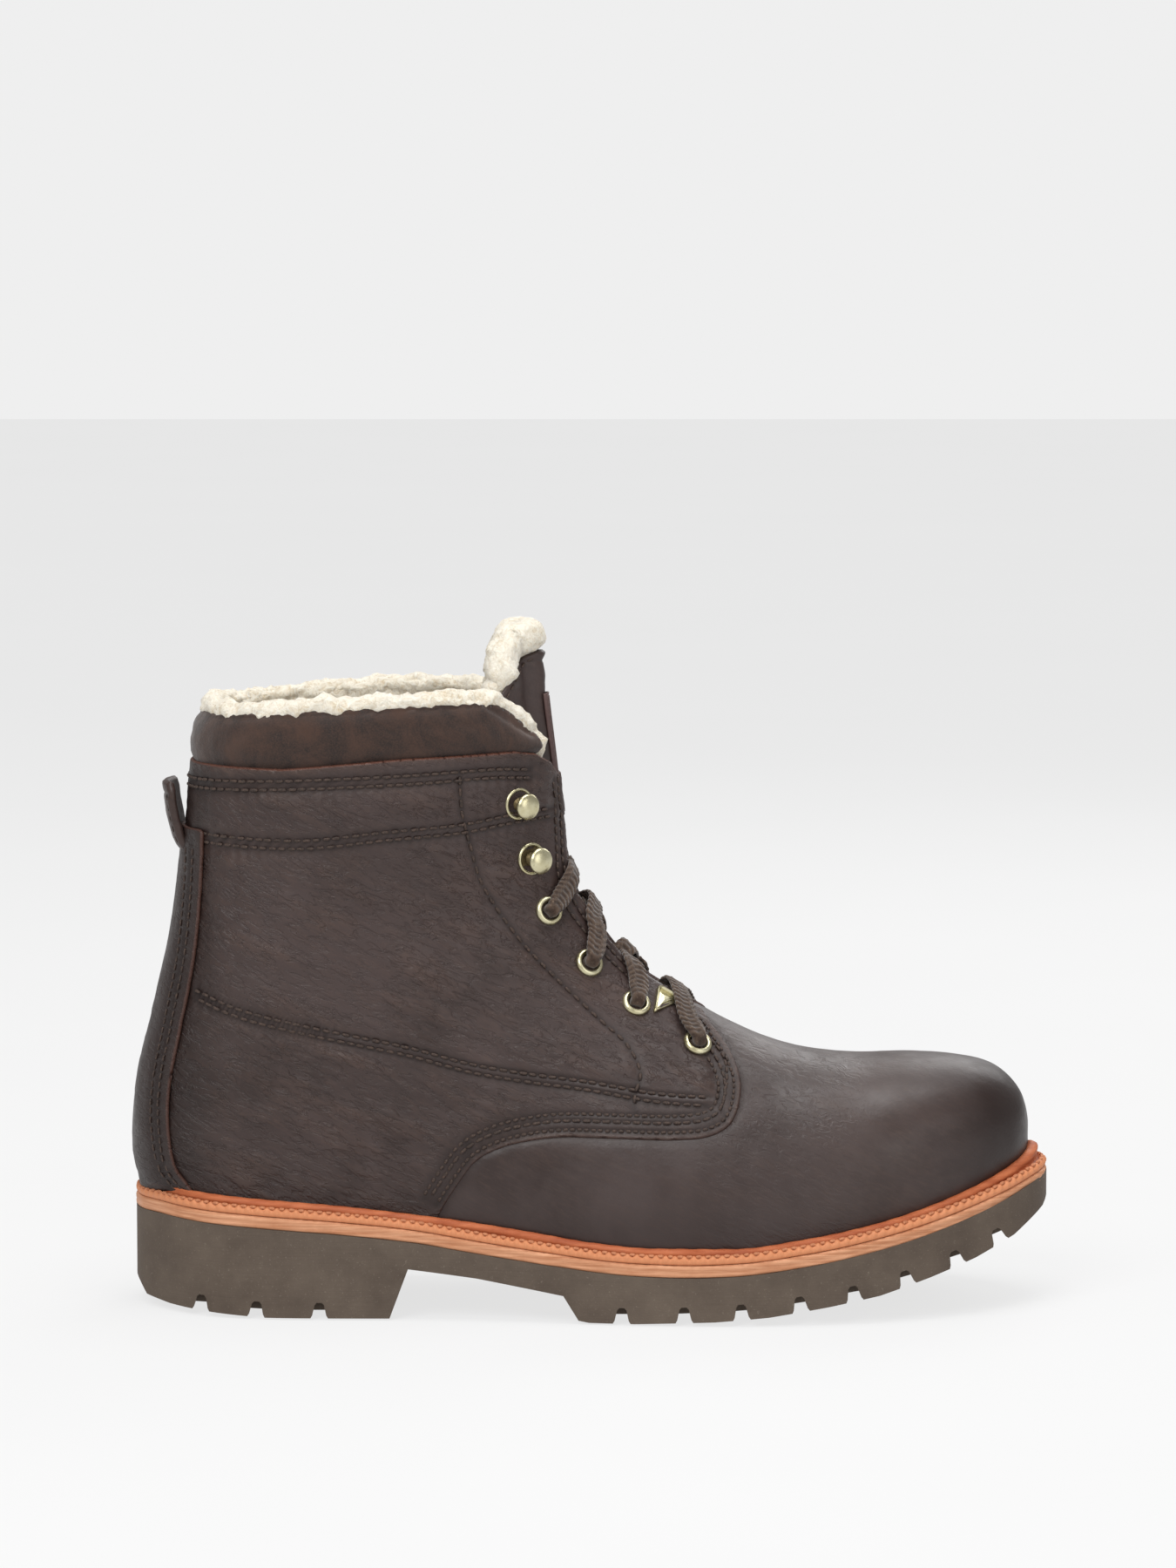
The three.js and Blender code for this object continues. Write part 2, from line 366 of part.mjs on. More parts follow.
// surface lookup on a side near a point given in the side view
function onSurface(x, z, side) {
  let best = null, bd = 1e9;
  for (let u = 6; u < 20.9; u += 0.1) {
    const P = section(u, side, 61);
    for (let j = 0; j < 40; j++) { const d = Math.hypot(P[j][0] - x, P[j][2] - z); if (d < bd) { bd = d; best = [u, j]; } }
  }
  const [u, j] = best, P = section(u, side, 61), A = section(u - 0.05, side, 61), B = section(u + 0.05, side, 61);
  let nn = unit(cross(sub(P[j + 1], P[Math.max(j - 1, 0)]), sub(B[j], A[j])));
  if (nn[1] * side < 0) nn = nn.map((v) => -v);
  return { p: P[j], n: nn, u };
}
const EYELETS = [[34.5, 88.6], [14.8, 100.7], [-1.3, 113.9], [-14.8, 130.7]].map(([x, z]) => [-1, 1].map((s) => onSurface(x, z, s)));
const HOOKS = [[-21.6, 149.2], [-25.4, 168.4]].map(([x, z]) => [-1, 1].map((s) => onSurface(x, z, s)));
function place(g, at, n) {      // puts a shape turned about +Y onto a surface point
  const q = new THREE.Quaternion().setFromUnitVectors(new THREE.Vector3(0, 1, 0), new THREE.Vector3(...n));
  g.applyQuaternion(q); g.translate(...at);
  return g;
}
const drill = (f, r) => solid(place(new THREE.CylinderGeometry(r, r, 12, 12), f.p, f.n));
const side = ['lateral', 'medial'];
const quarterBody = leather.intersect(solid(prismY(quarterOutline, -90, 90))).subtract(throatCut);
for (const s of [0, 1]) {
  let q = quarterBody.intersect(solid(prismY([[-200, 0], [200, 0], [200, 300], [-200, 300]], s ? 0.2 : -90, s ? 90 : -0.2)));
  for (const e of EYELETS) q = q.subtract(drill(e[s], 3.7));
  for (const h of HOOKS) q = q.subtract(drill(h[s], 2.3));
  piece('quarter_' + side[s], fromSolid(biggest(q)), 'leather');
}
piece('vamp', fromSolid(biggest(leather.subtract(solid(prismY(grow(quarterOutline, GAP), -90, 90))))), 'leather');

// padded collar, cut above the quarters
const collarOutline = [[-175, 180.4], ...quarterTop.slice(0, 5), [-17.2, 184], [-19.2, 189.5], [-25.6, 196.6], [-33.4, 200.2], [-47, 200.4], [-66, 199.4], [-93, 198], [-116, 196.8], [-127, 196], [-175, 195]];
collarOutline.splice(0, 6, [-175, 180.8], [-133, 180.8], [-101.6, 180.2], [-62.3, 183.7], [-25.8, 185.0], [-17.4, 183.7]);
const collarShell = solid(shell([15, 16, 17.3, 18.7, 20, 21], NT, -1.0, 4.2));
piece('collar_pad', fromSolid(biggest(collarShell.intersect(solid(prismY(collarOutline, -90, 90))).subtract(throatCut))), 'suede');

// stiffeners and linings, trimmed above the insole board
const under = solid(prismY([...lerpRange(-160, 158, 30).map((x) => [x, featherZ(x) - 0.45]), [158, -30], [-160, -30]], -90, 90));
const US2 = US.filter((u) => u >= 1.6);
const stiffShell = solid(shell(US.filter((u) => u >= 1), NT, LEATHER + GAP, LEATHER + GAP + STIFFENER)).subtract(under);
piece('toe_puff', fromSolid(biggest(stiffShell.intersect(solid(prismY([[98, 20], [160, 20], [160, 100], [86, 100], [88, 60]], -90, 90))))), 'stiff');
piece('heel_counter', fromSolid(biggest(stiffShell.intersect(solid(prismY([[-78, 20], [-74, 52], [-84, 78], [-104, 92], [-128, 98], [-170, 98], [-170, 20]], -90, 90))))), 'stiff');
const liningShell = solid(shell(US2, NT, LINING_OUT, LINING_IN)).subtract(under);
const split = [[12, 84], [-4, 62], [-16, 20]];
const tongueBay = [[-52, 210], [-50, 160], [-34, 122], [-16, 104], [4, 90], [36, 80.5]];
piece('vamp_lining', fromSolid(biggest(liningShell.intersect(solid(prismY([[8.4, 71.5], [-3.7, 56], [-15.7, 20], [170, 20], [170, 120], [40, 120], [40, 76]], -90, 90))))), 'fleece');
piece('shaft_lining', fromSolid(biggest(liningShell.intersect(solid(prismY([[-175, 20], [-16, 20], [-4, 56], [7.8, 71.5], [-10, 80], [-28, 96], [-44, 120], [-52, 160], [-54, 203.5], [-66, 203], [-93, 201.5], [-116, 200], [-175, 199]], -90, 90))))), 'fleece');

// backstay strip over the heel seam and the pull loop above it
const stay = solid(shell([13, 14, 15, 16, 17.3, 18.7], NT, -2.1, -0.35));
piece('backstay', fromSolid(biggest(stay.intersect(solid(prismY([[-170, 42], [-133.2, 41.5], [-137.4, 47.3], [-139.6, 59.3], [-139.4, 73.2], [-135.2, 95], [-131, 116.4], [-128.8, 137], [-127.8, 152], [-170, 152]], -60, 60))))), 'leather');
{
  const V = [], T = [], W = 12, K = 8, R = 5;
  const lo = [-137.2, 153.2], hi = [-139.6, 172.6], th = 3.0;
  for (let i = 0; i <= R; i++) for (let j = 0; j <= K; j++) {
    const y = -W + 2 * W * j / K, t = i / R, x = lo[0] + (hi[0] - lo[0]) * t - 0.6 * Math.sin(Math.PI * t) + y * y / 44, z = lo[1] + (hi[1] - lo[1]) * t;
    V.push([x - th, y, z], [x, y, z]);
  }
  const id = (i, j, s) => (i * (K + 1) + j) * 2 + s, quad = (a, b, c, d) => T.push([a, b, c], [a, c, d]);
  for (let i = 0; i < R; i++) for (let j = 0; j < K; j++) { quad(id(i, j, 0), id(i, j + 1, 0), id(i + 1, j + 1, 0), id(i + 1, j, 0)); quad(id(i, j, 1), id(i + 1, j, 1), id(i + 1, j + 1, 1), id(i, j + 1, 1)); }
  for (let j = 0; j < K; j++) { quad(id(0, j, 0), id(0, j, 1), id(0, j + 1, 1), id(0, j + 1, 0)); quad(id(R, j, 0), id(R, j + 1, 0), id(R, j + 1, 1), id(R, j, 1)); }
  for (let i = 0; i < R; i++) { quad(id(i, 0, 0), id(i + 1, 0, 0), id(i + 1, 0, 1), id(i, 0, 1)); quad(id(i, K, 0), id(i, K, 1), id(i + 1, K, 1), id(i + 1, K, 0)); }
  piece('pull_loop', geometry(V, T), 'leather');
}

// ---------------------------------------------------------------- tongue
// depth of the tongue's leather face behind the front centre line, at half width y
const smooth = (t) => { t = Math.min(1, Math.max(0, t)); return t * t * (3 - 2 * t); };
// point of the section at u whose unshifted half width is y, moved h outwards along the section's normal
function across(u, y, h) {
  const s = station(Math.min(u, 21)), a = unit([s[2] - s[0], 0, s[3] - s[1]]), L = Math.hypot(s[2] - s[0], s[3] - s[1]);
  const w = y < 0 ? s[4] : s[5], dep = (v) => { const r = Math.min(Math.abs(v) / w, 0.97); return s[6] * L * (1 - (1 - r ** s[7]) ** (1 / s[7])); };
  const k = (dep(Math.abs(y) + 0.3) - dep(Math.max(Math.abs(y) - 0.3, 0))) / (y === 0 ? 1e9 : 0.6), q = Math.hypot(1, k);
  const along = dep(y) - h / q, yy = y + Math.sign(y) * h * k / q, lift = u > 21 ? (u - 21) * 5 : 0;
  return [s[0] + a[0] * along - lift * 0.06, yy, s[1] + a[2] * along + lift];
}
function tonguePoint(u, y, d) {
  const up = smooth((u - 13.2) / 1.6), c = 7.6 - 6.2 * up;
  return across(u, y, -(c + (7.6 - c) * smooth((Math.abs(y) - 1.5) / 7) + d));
}
function tonguePlate(us, half, d0, d1, K = 8) {
  const V = [], T = [], I = us.length - 1;
  for (const u of us) for (let j = 0; j <= K; j++) { const y = half(u) * (2 * j / K - 1); V.push(tonguePoint(u, y, d0), tonguePoint(u, y, d1)); }
  const id = (i, j, s) => (i * (K + 1) + j) * 2 + s, quad = (a, b, c, d) => T.push([a, b, c], [a, c, d]);
  for (let i = 0; i < I; i++) for (let j = 0; j < K; j++) { quad(id(i, j, 0), id(i, j + 1, 0), id(i + 1, j + 1, 0), id(i + 1, j, 0)); quad(id(i, j, 1), id(i + 1, j, 1), id(i + 1, j + 1, 1), id(i, j + 1, 1)); }
  for (let j = 0; j < K; j++) { quad(id(0, j, 0), id(0, j, 1), id(0, j + 1, 1), id(0, j + 1, 0)); quad(id(I, j, 0), id(I, j + 1, 0), id(I, j + 1, 1), id(I, j, 1)); }
  for (let i = 0; i < I; i++) { quad(id(i, 0, 0), id(i + 1, 0, 0), id(i + 1, 0, 1), id(i, 0, 1)); quad(id(i, K, 0), id(i, K, 1), id(i + 1, K, 1), id(i + 1, K, 0)); }
  return geometry(V, T);
}
const TU = [9.0, 10.2, 11.4, 12.6, 13.4, 14.2, 15, 17, 19, 21, 22];
const tHalf = (u) => 19 + (TONGUE_HALF - 19) * smooth((u - 9) / 4) - 4 * smooth((u - 20) / 2);
piece('tongue_leather', tonguePlate(TU, tHalf, 0, 1.8), 'leather');
piece('tongue_fleece', tonguePlate([...TU, 23.9], (u) => tHalf(u) - 0.4, 2.1, 8.4), 'fleece');
piece('tongue_label', tonguePlate([15.7, 17, 19, 19.4], () => 3.6, -1.15, -0.3, 2), 'leather');

// ---------------------------------------------------------------- metal trim
const lathe = (pts, n) => new THREE.LatheGeometry(pts.map(([r, y]) => new THREE.Vector2(r, y)), n);
const eyeletProfile = [[EYELET_HOLE, -3.5], [4.2, -3.5], [3.35, -3.0], [3.35, 0.6], [EYELET_R, 0.6], [4.4, 1.3], [3.4, 1.7], [EYELET_HOLE, 1.2], [EYELET_HOLE, -3.5]];
const hookProfile = [[0, -3.6], [3.3, -3.6], [1.9, -3.0], [1.9, 0.6], [5.2, 0.6], [5.0, 1.2], [1.7, 1.5], [1.6, 3.8], [4.4, 4.2], [4.2, 5.2], [0, 6.5]];
for (const s of [0, 1]) {
  EYELETS.forEach((e, k) => piece(`eyelet_${side[s]}_${k + 1}`, place(lathe(eyeletProfile, 10), e[s].p, e[s].n), 'brass'));
  HOOKS.forEach((h, k) => piece(`lace_hook_${side[s]}_${k + 1}`, place(lathe(hookProfile, 10), h[s].p, h[s].n), 'brass'));
}

// ---------------------------------------------------------------- lace: one tube through the eight eyelets
const SGN = [-1, 1];
const P3 = (a) => new THREE.Vector3(...a);
const gapAt = (u) => halfGap(u);
// half width of an eyelet on its section
const eyeY = (k, s) => { const e = EYELETS[k][s]; return e.p[1]; };
const hole = (k, s, hs) => hs.map((h) => add(EYELETS[k][s].p, EYELETS[k][s].n, h));
// a strand climbs from the lowest eyelet of side s: out of a hole, over its own facing, under the other facing, up the next hole
function strand(s, centre) {
  const pts = [...hole(0, s, [-4.9, -2.4, 0.6, 3.1])];
  for (let k = 0; k < 3; k++) {
    const o = 1 - s, u0 = EYELETS[k][s].u, u1 = EYELETS[k + 1][o].u, U = (t) => u0 + (u1 - u0) * t, g = gapAt(U(0.5));
    pts.push(across(U(0.16), SGN[s] * (Math.abs(eyeY(k, s)) - 6.5), 2.4), across(U(0.34), SGN[s] * (g + 1), 1.9), across(U(0.5), SGN[s] * 0.01, centre),
      across(U(0.66), SGN[o] * (g - 1), -4.3), across(U(0.8), SGN[o] * (g + 3.5), -5.2), ...hole(k + 1, o, [-4.9, -2.4, 0.6, 3.1]));
    s = o;
  }
  return [pts, s];
}
const [A, sA] = strand(0, 0.6);
const [B, sB] = strand(1, -3.0);
// after the top eyelets each end turns over the facing edge and lies tucked between the facing and the tongue
const tail = (s) => { const u = EYELETS[3][s].u, g = gapAt(u + 0.4); return [
  across(u + 0.12, SGN[s] * (Math.abs(eyeY(3, s)) - 6.5), 2.3), across(u + 0.28, SGN[s] * (g + 0.4), 2.3), across(u + 0.38, SGN[s] * (g - 4.2), -1.3),
  across(u + 0.48, SGN[s] * (g + 0.4), -4.6), across(u + 0.5, SGN[s] * (g + 5), -5.1), across(u + 1.1, SGN[s] * 20, -5.2), across(u + 2.4, SGN[s] * 27, -5.2), across(u + 4.2, SGN[s] * 28.5, -5.4)]; };
const bar = [[-14, -5.6], [-6, -5.6], [0.01, -5.6], [6, -5.6], [14, -5.6]].map(([y, h]) => across(EYELETS[0][0].u - 0.02, y, h));
const laceRoute = [...tail(sA).reverse(), ...[...A].reverse(), ...bar, ...B, ...tail(sB)];
const laceCurve = new THREE.CatmullRomCurve3(laceRoute.map(P3), false, 'centripetal');
const ring = new THREE.Shape(Array.from({ length: 6 }, (_, k) => new THREE.Vector2(LACE_D / 2 * Math.cos(k * Math.PI / 3), LACE_D / 2 * Math.sin(k * Math.PI / 3))));
piece('lace', new THREE.ExtrudeGeometry(ring, { steps: 104, bevelEnabled: false, extrudePath: laceCurve }), 'lace');

// triangular brass badge lying on the lateral facing
{
  const c = [[20.8, 104.4], [28.2, 100.9], [20.8, 98.8]].map(([x, z]) => onSurface(x, z, -1)), nn = unit([0, 1, 2].map((k) => c[0].n[k] + c[1].n[k] + c[2].n[k]));
  const base = c.map((f) => add(f.p, nn, 1.0)), top = base.map((p) => add(p, nn, 1.0));
  const g = geometry([...base, ...top], [[0, 1, 2], [5, 4, 3], [0, 3, 4], [0, 4, 1], [1, 4, 5], [1, 5, 2], [2, 5, 3], [2, 3, 0]]);
  piece('badge_plate', g, 'brass');
}

export default boot;
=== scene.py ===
import bpy, bmesh, math
import numpy as np
from mathutils import Vector, Matrix, noise
from mathutils.kdtree import KDTree


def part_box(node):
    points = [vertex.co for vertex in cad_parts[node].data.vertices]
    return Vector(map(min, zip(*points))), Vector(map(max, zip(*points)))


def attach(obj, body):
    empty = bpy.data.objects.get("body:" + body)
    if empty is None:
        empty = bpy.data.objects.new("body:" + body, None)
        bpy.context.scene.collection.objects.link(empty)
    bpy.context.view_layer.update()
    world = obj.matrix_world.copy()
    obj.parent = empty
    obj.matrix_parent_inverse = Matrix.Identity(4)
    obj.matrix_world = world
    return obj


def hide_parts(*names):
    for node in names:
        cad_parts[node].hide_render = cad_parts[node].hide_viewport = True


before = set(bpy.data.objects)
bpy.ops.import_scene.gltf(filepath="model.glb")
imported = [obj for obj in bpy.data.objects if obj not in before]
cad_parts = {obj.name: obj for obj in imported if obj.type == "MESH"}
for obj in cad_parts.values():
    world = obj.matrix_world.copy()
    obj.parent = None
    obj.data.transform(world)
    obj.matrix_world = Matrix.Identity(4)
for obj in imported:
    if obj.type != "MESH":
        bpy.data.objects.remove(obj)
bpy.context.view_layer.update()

MM = 0.001
RNG = np.random.default_rng(7)
ROOT = "boot"

# ------------------------------------------------------------------ camera, light, floor
scene = bpy.context.scene
scene.view_settings.view_transform = "Standard"
EL = math.radians(6.0)
TARGET = Vector((-0.0014, 0.0, 0.1720))
cam_data = bpy.data.cameras.new("camera")
cam_data.lens = 150.0
cam_data.sensor_fit = "AUTO"
cam_data.sensor_width = 36.0
cam_data.clip_start = 0.05
cam = bpy.data.objects.new("camera", cam_data)
scene.collection.objects.link(cam)
cam.location = TARGET + Vector((0, -math.cos(EL), math.sin(EL))) * 2.171
cam.rotation_euler = (math.radians(90) - EL, 0, 0)
scene.camera = cam


def area(name, loc, size, power, aim=(0, 0, 0.09), color=(1, 1, 1)):
    d = bpy.data.lights.new(name, "AREA")
    d.shape = "RECTANGLE"; d.size = size[0]; d.size_y = size[1]; d.energy = power; d.color = color
    o = bpy.data.objects.new(name, d)
    o.location = loc
    o.rotation_euler = (Vector(aim) - Vector(loc)).to_track_quat("-Z", "Y").to_euler()
    scene.collection.objects.link(o)
    return o


area("key", (-0.55, -1.15, 1.15), (0.8, 0.8), 13.0)
area("top", (0.10, -0.10, 1.45), (1.0, 0.7), 12.0)
area("front_fill", (0.9, -1.2, 0.55), (0.8, 0.9), 4.5)
area("rim", (0.5, 1.1, 0.9), (0.8, 0.8), 6.0)
world = bpy.data.worlds.new("world")
scene.world = world
world.use_nodes = True
wt = world.node_tree
bg = wt.nodes["Background"]
bg.inputs[0].default_value = (0.863, 0.863, 0.863, 1)
lp = wt.nodes.new("ShaderNodeLightPath")
mr = wt.nodes.new("ShaderNodeMapRange")
mr.inputs[3].default_value = 0.46
mr.inputs[4].default_value = 1.0
wt.links.new(lp.outputs["Is Camera Ray"], mr.inputs[0])
wt.links.new(mr.outputs[0], bg.inputs[1])


# ------------------------------------------------------------------ materials
class Mat:
    def __init__(self, name):
        self.m = bpy.data.materials.new(name)
        self.m.use_nodes = True
        self.t = self.m.node_tree
        self.t.nodes.clear()
        self.out = self.t.nodes.new("ShaderNodeOutputMaterial")
        self.b = self.t.nodes.new("ShaderNodeBsdfPrincipled")
        self.link(self.b, 0, self.out, 0)
        self.tc = self.t.nodes.new("ShaderNodeTexCoord")

    def link(self, a, i, b, j):
        self.t.links.new(a.outputs[i], b.inputs[j])

    def put(self, node, key, v):
        """a number is set on the socket, a (node, output) pair is linked to it"""
        if isinstance(v, tuple) and len(v) == 2 and hasattr(v[0], "outputs"):
            self.t.links.new(v[0].outputs[v[1]], node.inputs[key])
        else:
            node.inputs[key].default_value = v

    def coords(self, scale=(1, 1, 1), rot=(0, 0, 0)):
        n = self.t.nodes.new("ShaderNodeMapping")
        n.vector_type = "TEXTURE"
        n.inputs["Scale"].default_value = [1.0 / v for v in scale]
        n.inputs["Rotation"].default_value = rot
        self.link(self.tc, "Object", n, "Vector")
        return (n, 0)

    def noise(self, scale, detail=3.0, rough=0.55, vec=None, dist=0.0):
        n = self.t.nodes.new("ShaderNodeTexNoise")
        self.put(n, "Vector", vec or (self.tc, "Object"))
        n.inputs["Scale"].default_value = scale
        n.inputs["Detail"].default_value = detail
        n.inputs["Roughness"].default_value = rough
        n.inputs["Distortion"].default_value = dist
        return (n, 0)

    def voronoi(self, scale, vec=None, feature="F1", smooth=None):
        n = self.t.nodes.new("ShaderNodeTexVoronoi")
        n.feature = feature
        self.put(n, "Vector", vec or (self.tc, "Object"))
        n.inputs["Scale"].default_value = scale
        if smooth is not None and "Smoothness" in n.inputs:
            n.inputs["Smoothness"].default_value = smooth
        return (n, 0)

    def wave(self, scale, dist, dscale, vec=None, direction="X"):
        n = self.t.nodes.new("ShaderNodeTexWave")
        n.bands_direction = direction
        self.put(n, "Vector", vec or (self.tc, "Object"))
        n.inputs["Scale"].default_value = scale
        n.inputs["Distortion"].default_value = dist
        n.inputs["Detail Scale"].default_value = dscale
        return (n, 1)

    def attr(self, name):
        n = self.t.nodes.new("ShaderNodeAttribute")
        n.attribute_name = name
        return (n, "Fac")

    def math(self, op, a, b=0.0, c=0.0, clamp=False):
        n = self.t.nodes.new("ShaderNodeMath")
        n.operation = op
        n.use_clamp = clamp
        self.put(n, 0, a); self.put(n, 1, b)
        if op in ("MULTIPLY_ADD",):
            self.put(n, 2, c)
        return (n, 0)

    def ramp(self, fac, stops):
        n = self.t.nodes.new("ShaderNodeValToRGB")
        e = n.color_ramp.elements
        while len(e) < len(stops):
            e.new(0.5)
        for k, (p, c) in enumerate(stops):
            e[k].position = p
            e[k].color = (*c, 1) if not isinstance(c, (int, float)) else (c, c, c, 1)
        self.put(n, 0, fac)
        return (n, 0)

    def mix(self, fac, a, b, mode="MIX"):
        n = self.t.nodes.new("ShaderNodeMix")
        n.data_type = "RGBA"
        n.blend_type = mode
        self.put(n, 0, fac)
        for k, v in ((6, a), (7, b)):
            if isinstance(v, tuple) and len(v) == 3:
                v = (*v, 1.0)
            self.put(n, k, v)
        return (n, 2)

    def bump(self, height, strength, distance, normal=None):
        n = self.t.nodes.new("ShaderNodeBump")
        n.inputs["Strength"].default_value = strength
        n.inputs["Distance"].default_value = distance
        self.put(n, "Height", height)
        if normal:
            self.put(n, "Normal", normal)
        return (n, 0)

    def done(self, color=None, rough=None, normal=None, **sockets):
        if color is not None:
            self.put(self.b, "Base Color", color if not (isinstance(color, tuple) and len(color) == 3) else (*color, 1))
        if rough is not None:
            self.put(self.b, "Roughness", rough)
        if normal is not None:
            self.put(self.b, "Normal", normal)
        for k, v in sockets.items():
            self.b.inputs[k.replace("_", " ")].default_value = v
        return self.m


def leather(name, base, light, warm, grain=1.0, wrinkle=1.0, rough=(0.40, 0.62), coat=0.0):
    m = Mat(name)
    big = m.noise(22, 4, 0.6, dist=0.6)
    mid = m.noise(140, 5, 0.6)
    fibre = m.noise(1.0, 3, 0.6, vec=m.coords((260, 260, 1400), (0, math.radians(28), 0)))
    c = m.mix(m.ramp(big, [(0.36, 0.0), (0.66, 1.0)]), base, light)
    c = m.mix(m.ramp(mid, [(0.45, 0.0), (0.75, 0.45)]), c, light)
    c = m.mix(m.ramp(fibre, [(0.50, 0.0), (0.74, 0.30)]), c, warm)
    c = m.mix(m.math("MULTIPLY", m.attr("wear"), m.ramp(fibre, [(0.30, 0.35), (0.7, 1.0)])), c, warm)
    # burn darkens the leather: burnish, darker seams and bottom, and on the vamp also a painted shadow along the
    # quarters' edge
    c = m.mix(m.math("MULTIPLY", m.attr("burn"), 0.92), c, (base[0] * 0.42, base[1] * 0.30, base[2] * 0.26))
    c = m.mix(m.attr("edge"), c, (0.100, 0.036, 0.022))
    pores = m.voronoi(950, feature="SMOOTH_F1", smooth=0.6)
    n1 = m.noise(420, 6, 0.62)
    g = m.math("MULTIPLY_ADD", pores, 0.55, n1)
    v = m.coords((110, 150, 330), (0, math.radians(26), 0))
    creases = m.noise(1.6, 4, 0.58, vec=v, dist=0.9)
    cr = m.math("MULTIPLY", m.ramp(creases, [(0.40, 0.0), (0.52, 1.0)]), m.attr("wrinkle"))
    b1 = m.bump(g, 0.34 * grain, 0.00022)
    b2 = m.bump(cr, 0.62 * wrinkle, 0.0007, b1)
    r = m.ramp(m.noise(75, 5, 0.65), [(0.3, rough[0]), (0.75, rough[1])])
    return m.done(c, r, b2, Specular_IOR_Level=0.40, Coat_Weight=coat, Coat_Roughness=0.35)


def suede(name, base, light):
    m = Mat(name)
    a = m.noise(60, 5, 0.7, dist=0.8)
    f = m.noise(1700, 3, 0.7)
    s = m.voronoi(260, feature="SMOOTH_F1", smooth=0.8)
    c = m.mix(m.ramp(a, [(0.40, 0.0), (0.62, 1.0)]), base, light)
    c = m.mix(m.ramp(f, [(0.4, 0.0), (0.7, 0.5)]), c, (light[0] * 1.25, light[1] * 1.15, light[2] * 1.1))
    h = m.math("MULTIPLY_ADD", s, 0.5, m.noise(520, 6, 0.7))
    return m.done(c, m.ramp(a, [(0.35, 0.62), (0.65, 0.92)]), m.bump(h, 0.55, 0.0004), Sheen_Weight=0.25, Sheen_Roughness=0.5, Specular_IOR_Level=0.3)


def fleece_mat(name):
    m = Mat(name)
    a = m.noise(420, 5, 0.7, dist=1.6)
    big = m.noise(55, 4, 0.6)
    c = m.mix(m.ramp(a, [(0.34, 1.0), (0.56, 0.0)]), (0.90, 0.845, 0.72), (0.62, 0.50, 0.33))
    c = m.mix(m.ramp(big, [(0.42, 0.0), (0.75, 0.5)]), c, (0.97, 0.93, 0.84))
    h = m.math("MULTIPLY_ADD", m.noise(1500, 4, 0.7), 0.4, a)
    return m.done(c, 0.95, m.bump(h, 0.9, 0.0011), Sheen_Weight=0.6, Sheen_Roughness=0.6, Sheen_Tint=(1, 0.96, 0.88, 1), Specular_IOR_Level=0.15, Subsurface_Weight=0.12, Subsurface_Scale=0.002, Subsurface_Radius=(1.0, 0.92, 0.75))


def rubber_mat(name):
    m = Mat(name)
    v = m.coords((30, 30, 900))
    s = m.noise(1.0, 4, 0.6, vec=v)
    a = m.noise(48, 5, 0.65)
    f = m.noise(1300, 3, 0.6)
    c = m.mix(m.ramp(a, [(0.35, 0.0), (0.7, 1.0)]), (0.078, 0.056, 0.041), (0.125, 0.096, 0.073))
    c = m.mix(m.ramp(f, [(0.62, 0.0), (0.74, 0.55)]), c, (0.21, 0.175, 0.14))
    h = m.math("MULTIPLY_ADD", f, 0.35, s)
    return m.done(c, m.ramp(a, [(0.3, 0.62), (0.7, 0.86)]), m.bump(h, 0.38, 0.0003), Specular_IOR_Level=0.35)


def edge_leather(name, dark, lightc, streak=1400):
    m = Mat(name)
    v = m.coords((55, 55, streak))
    s = m.noise(1.0, 5, 0.62, vec=v, dist=0.3)
    a = m.noise(90, 4, 0.6)
    c = m.mix(m.ramp(s, [(0.34, 0.0), (0.66, 1.0)]), dark, lightc)
    c = m.mix(m.ramp(a, [(0.5, 0.0), (0.8, 0.4)]), c, (dark[0] * 0.75, dark[1] * 0.62, dark[2] * 0.5))
    c = m.mix(m.attr("ridge"), c, (0.66, 0.27, 0.125))
    h = m.math("MULTIPLY_ADD", m.noise(900, 4, 0.65), 0.5, s)
    return m.done(c, m.ramp(a, [(0.3, 0.5), (0.7, 0.75)]), m.bump(h, 0.45, 0.00035), Specular_IOR_Level=0.35)


def brass_mat(name):
    m = Mat(name)
    a = m.noise(160, 5, 0.65)
    f = m.noise(900, 4, 0.6)
    c = m.mix(m.ramp(a, [(0.35, 0.0), (0.68, 1.0)]), (0.50, 0.45, 0.27), (0.70, 0.66, 0.46))
    c = m.mix(m.ramp(f, [(0.60, 0.0), (0.78, 0.6)]), c, (0.20, 0.16, 0.08))
    return m.done(c, m.ramp(a, [(0.3, 0.24), (0.7, 0.42)]), m.bump(f, 0.12, 0.00012), Metallic=1.0)


# a darker copy of the brass for the hook posts and plates: painted shade under the hook heads
def brass_painted_shade_mat(name):
    m = Mat(name)
    a = m.noise(200, 5, 0.65)
    return m.done(m.mix(m.ramp(a, [(0.35, 0.0), (0.7, 1.0)]), (0.10, 0.075, 0.04), (0.22, 0.17, 0.09)), m.ramp(a, [(0.3, 0.4), (0.7, 0.6)]), m.bump(a, 0.2, 0.0002), Metallic=1.0)


def lace_mat(name):
    m = Mat(name)
    br = m.attr("braid")
    f = m.noise(1300, 4, 0.7)
    sp = m.noise(320, 3, 0.6)
    c = m.mix(m.ramp(sp, [(0.42, 0.0), (0.66, 1.0)]), (0.026, 0.014, 0.009), (0.055, 0.032, 0.021))
    # braid lightens the raised strands and leaves the grooves between them dark: painted light and shade of the braid's
    # relief
    c = m.mix(m.math("MULTIPLY", br, 0.62), c, (0.120, 0.080, 0.056))
    c = m.mix(m.ramp(f, [(0.58, 0.0), (0.70, 0.75)]), c, (0.24, 0.175, 0.125))
    h = m.math("MULTIPLY_ADD", f, 0.4, br)
    return m.done(c, 0.88, m.bump(h, 0.6, 0.0004), Sheen_Weight=0.3, Specular_IOR_Level=0.2)


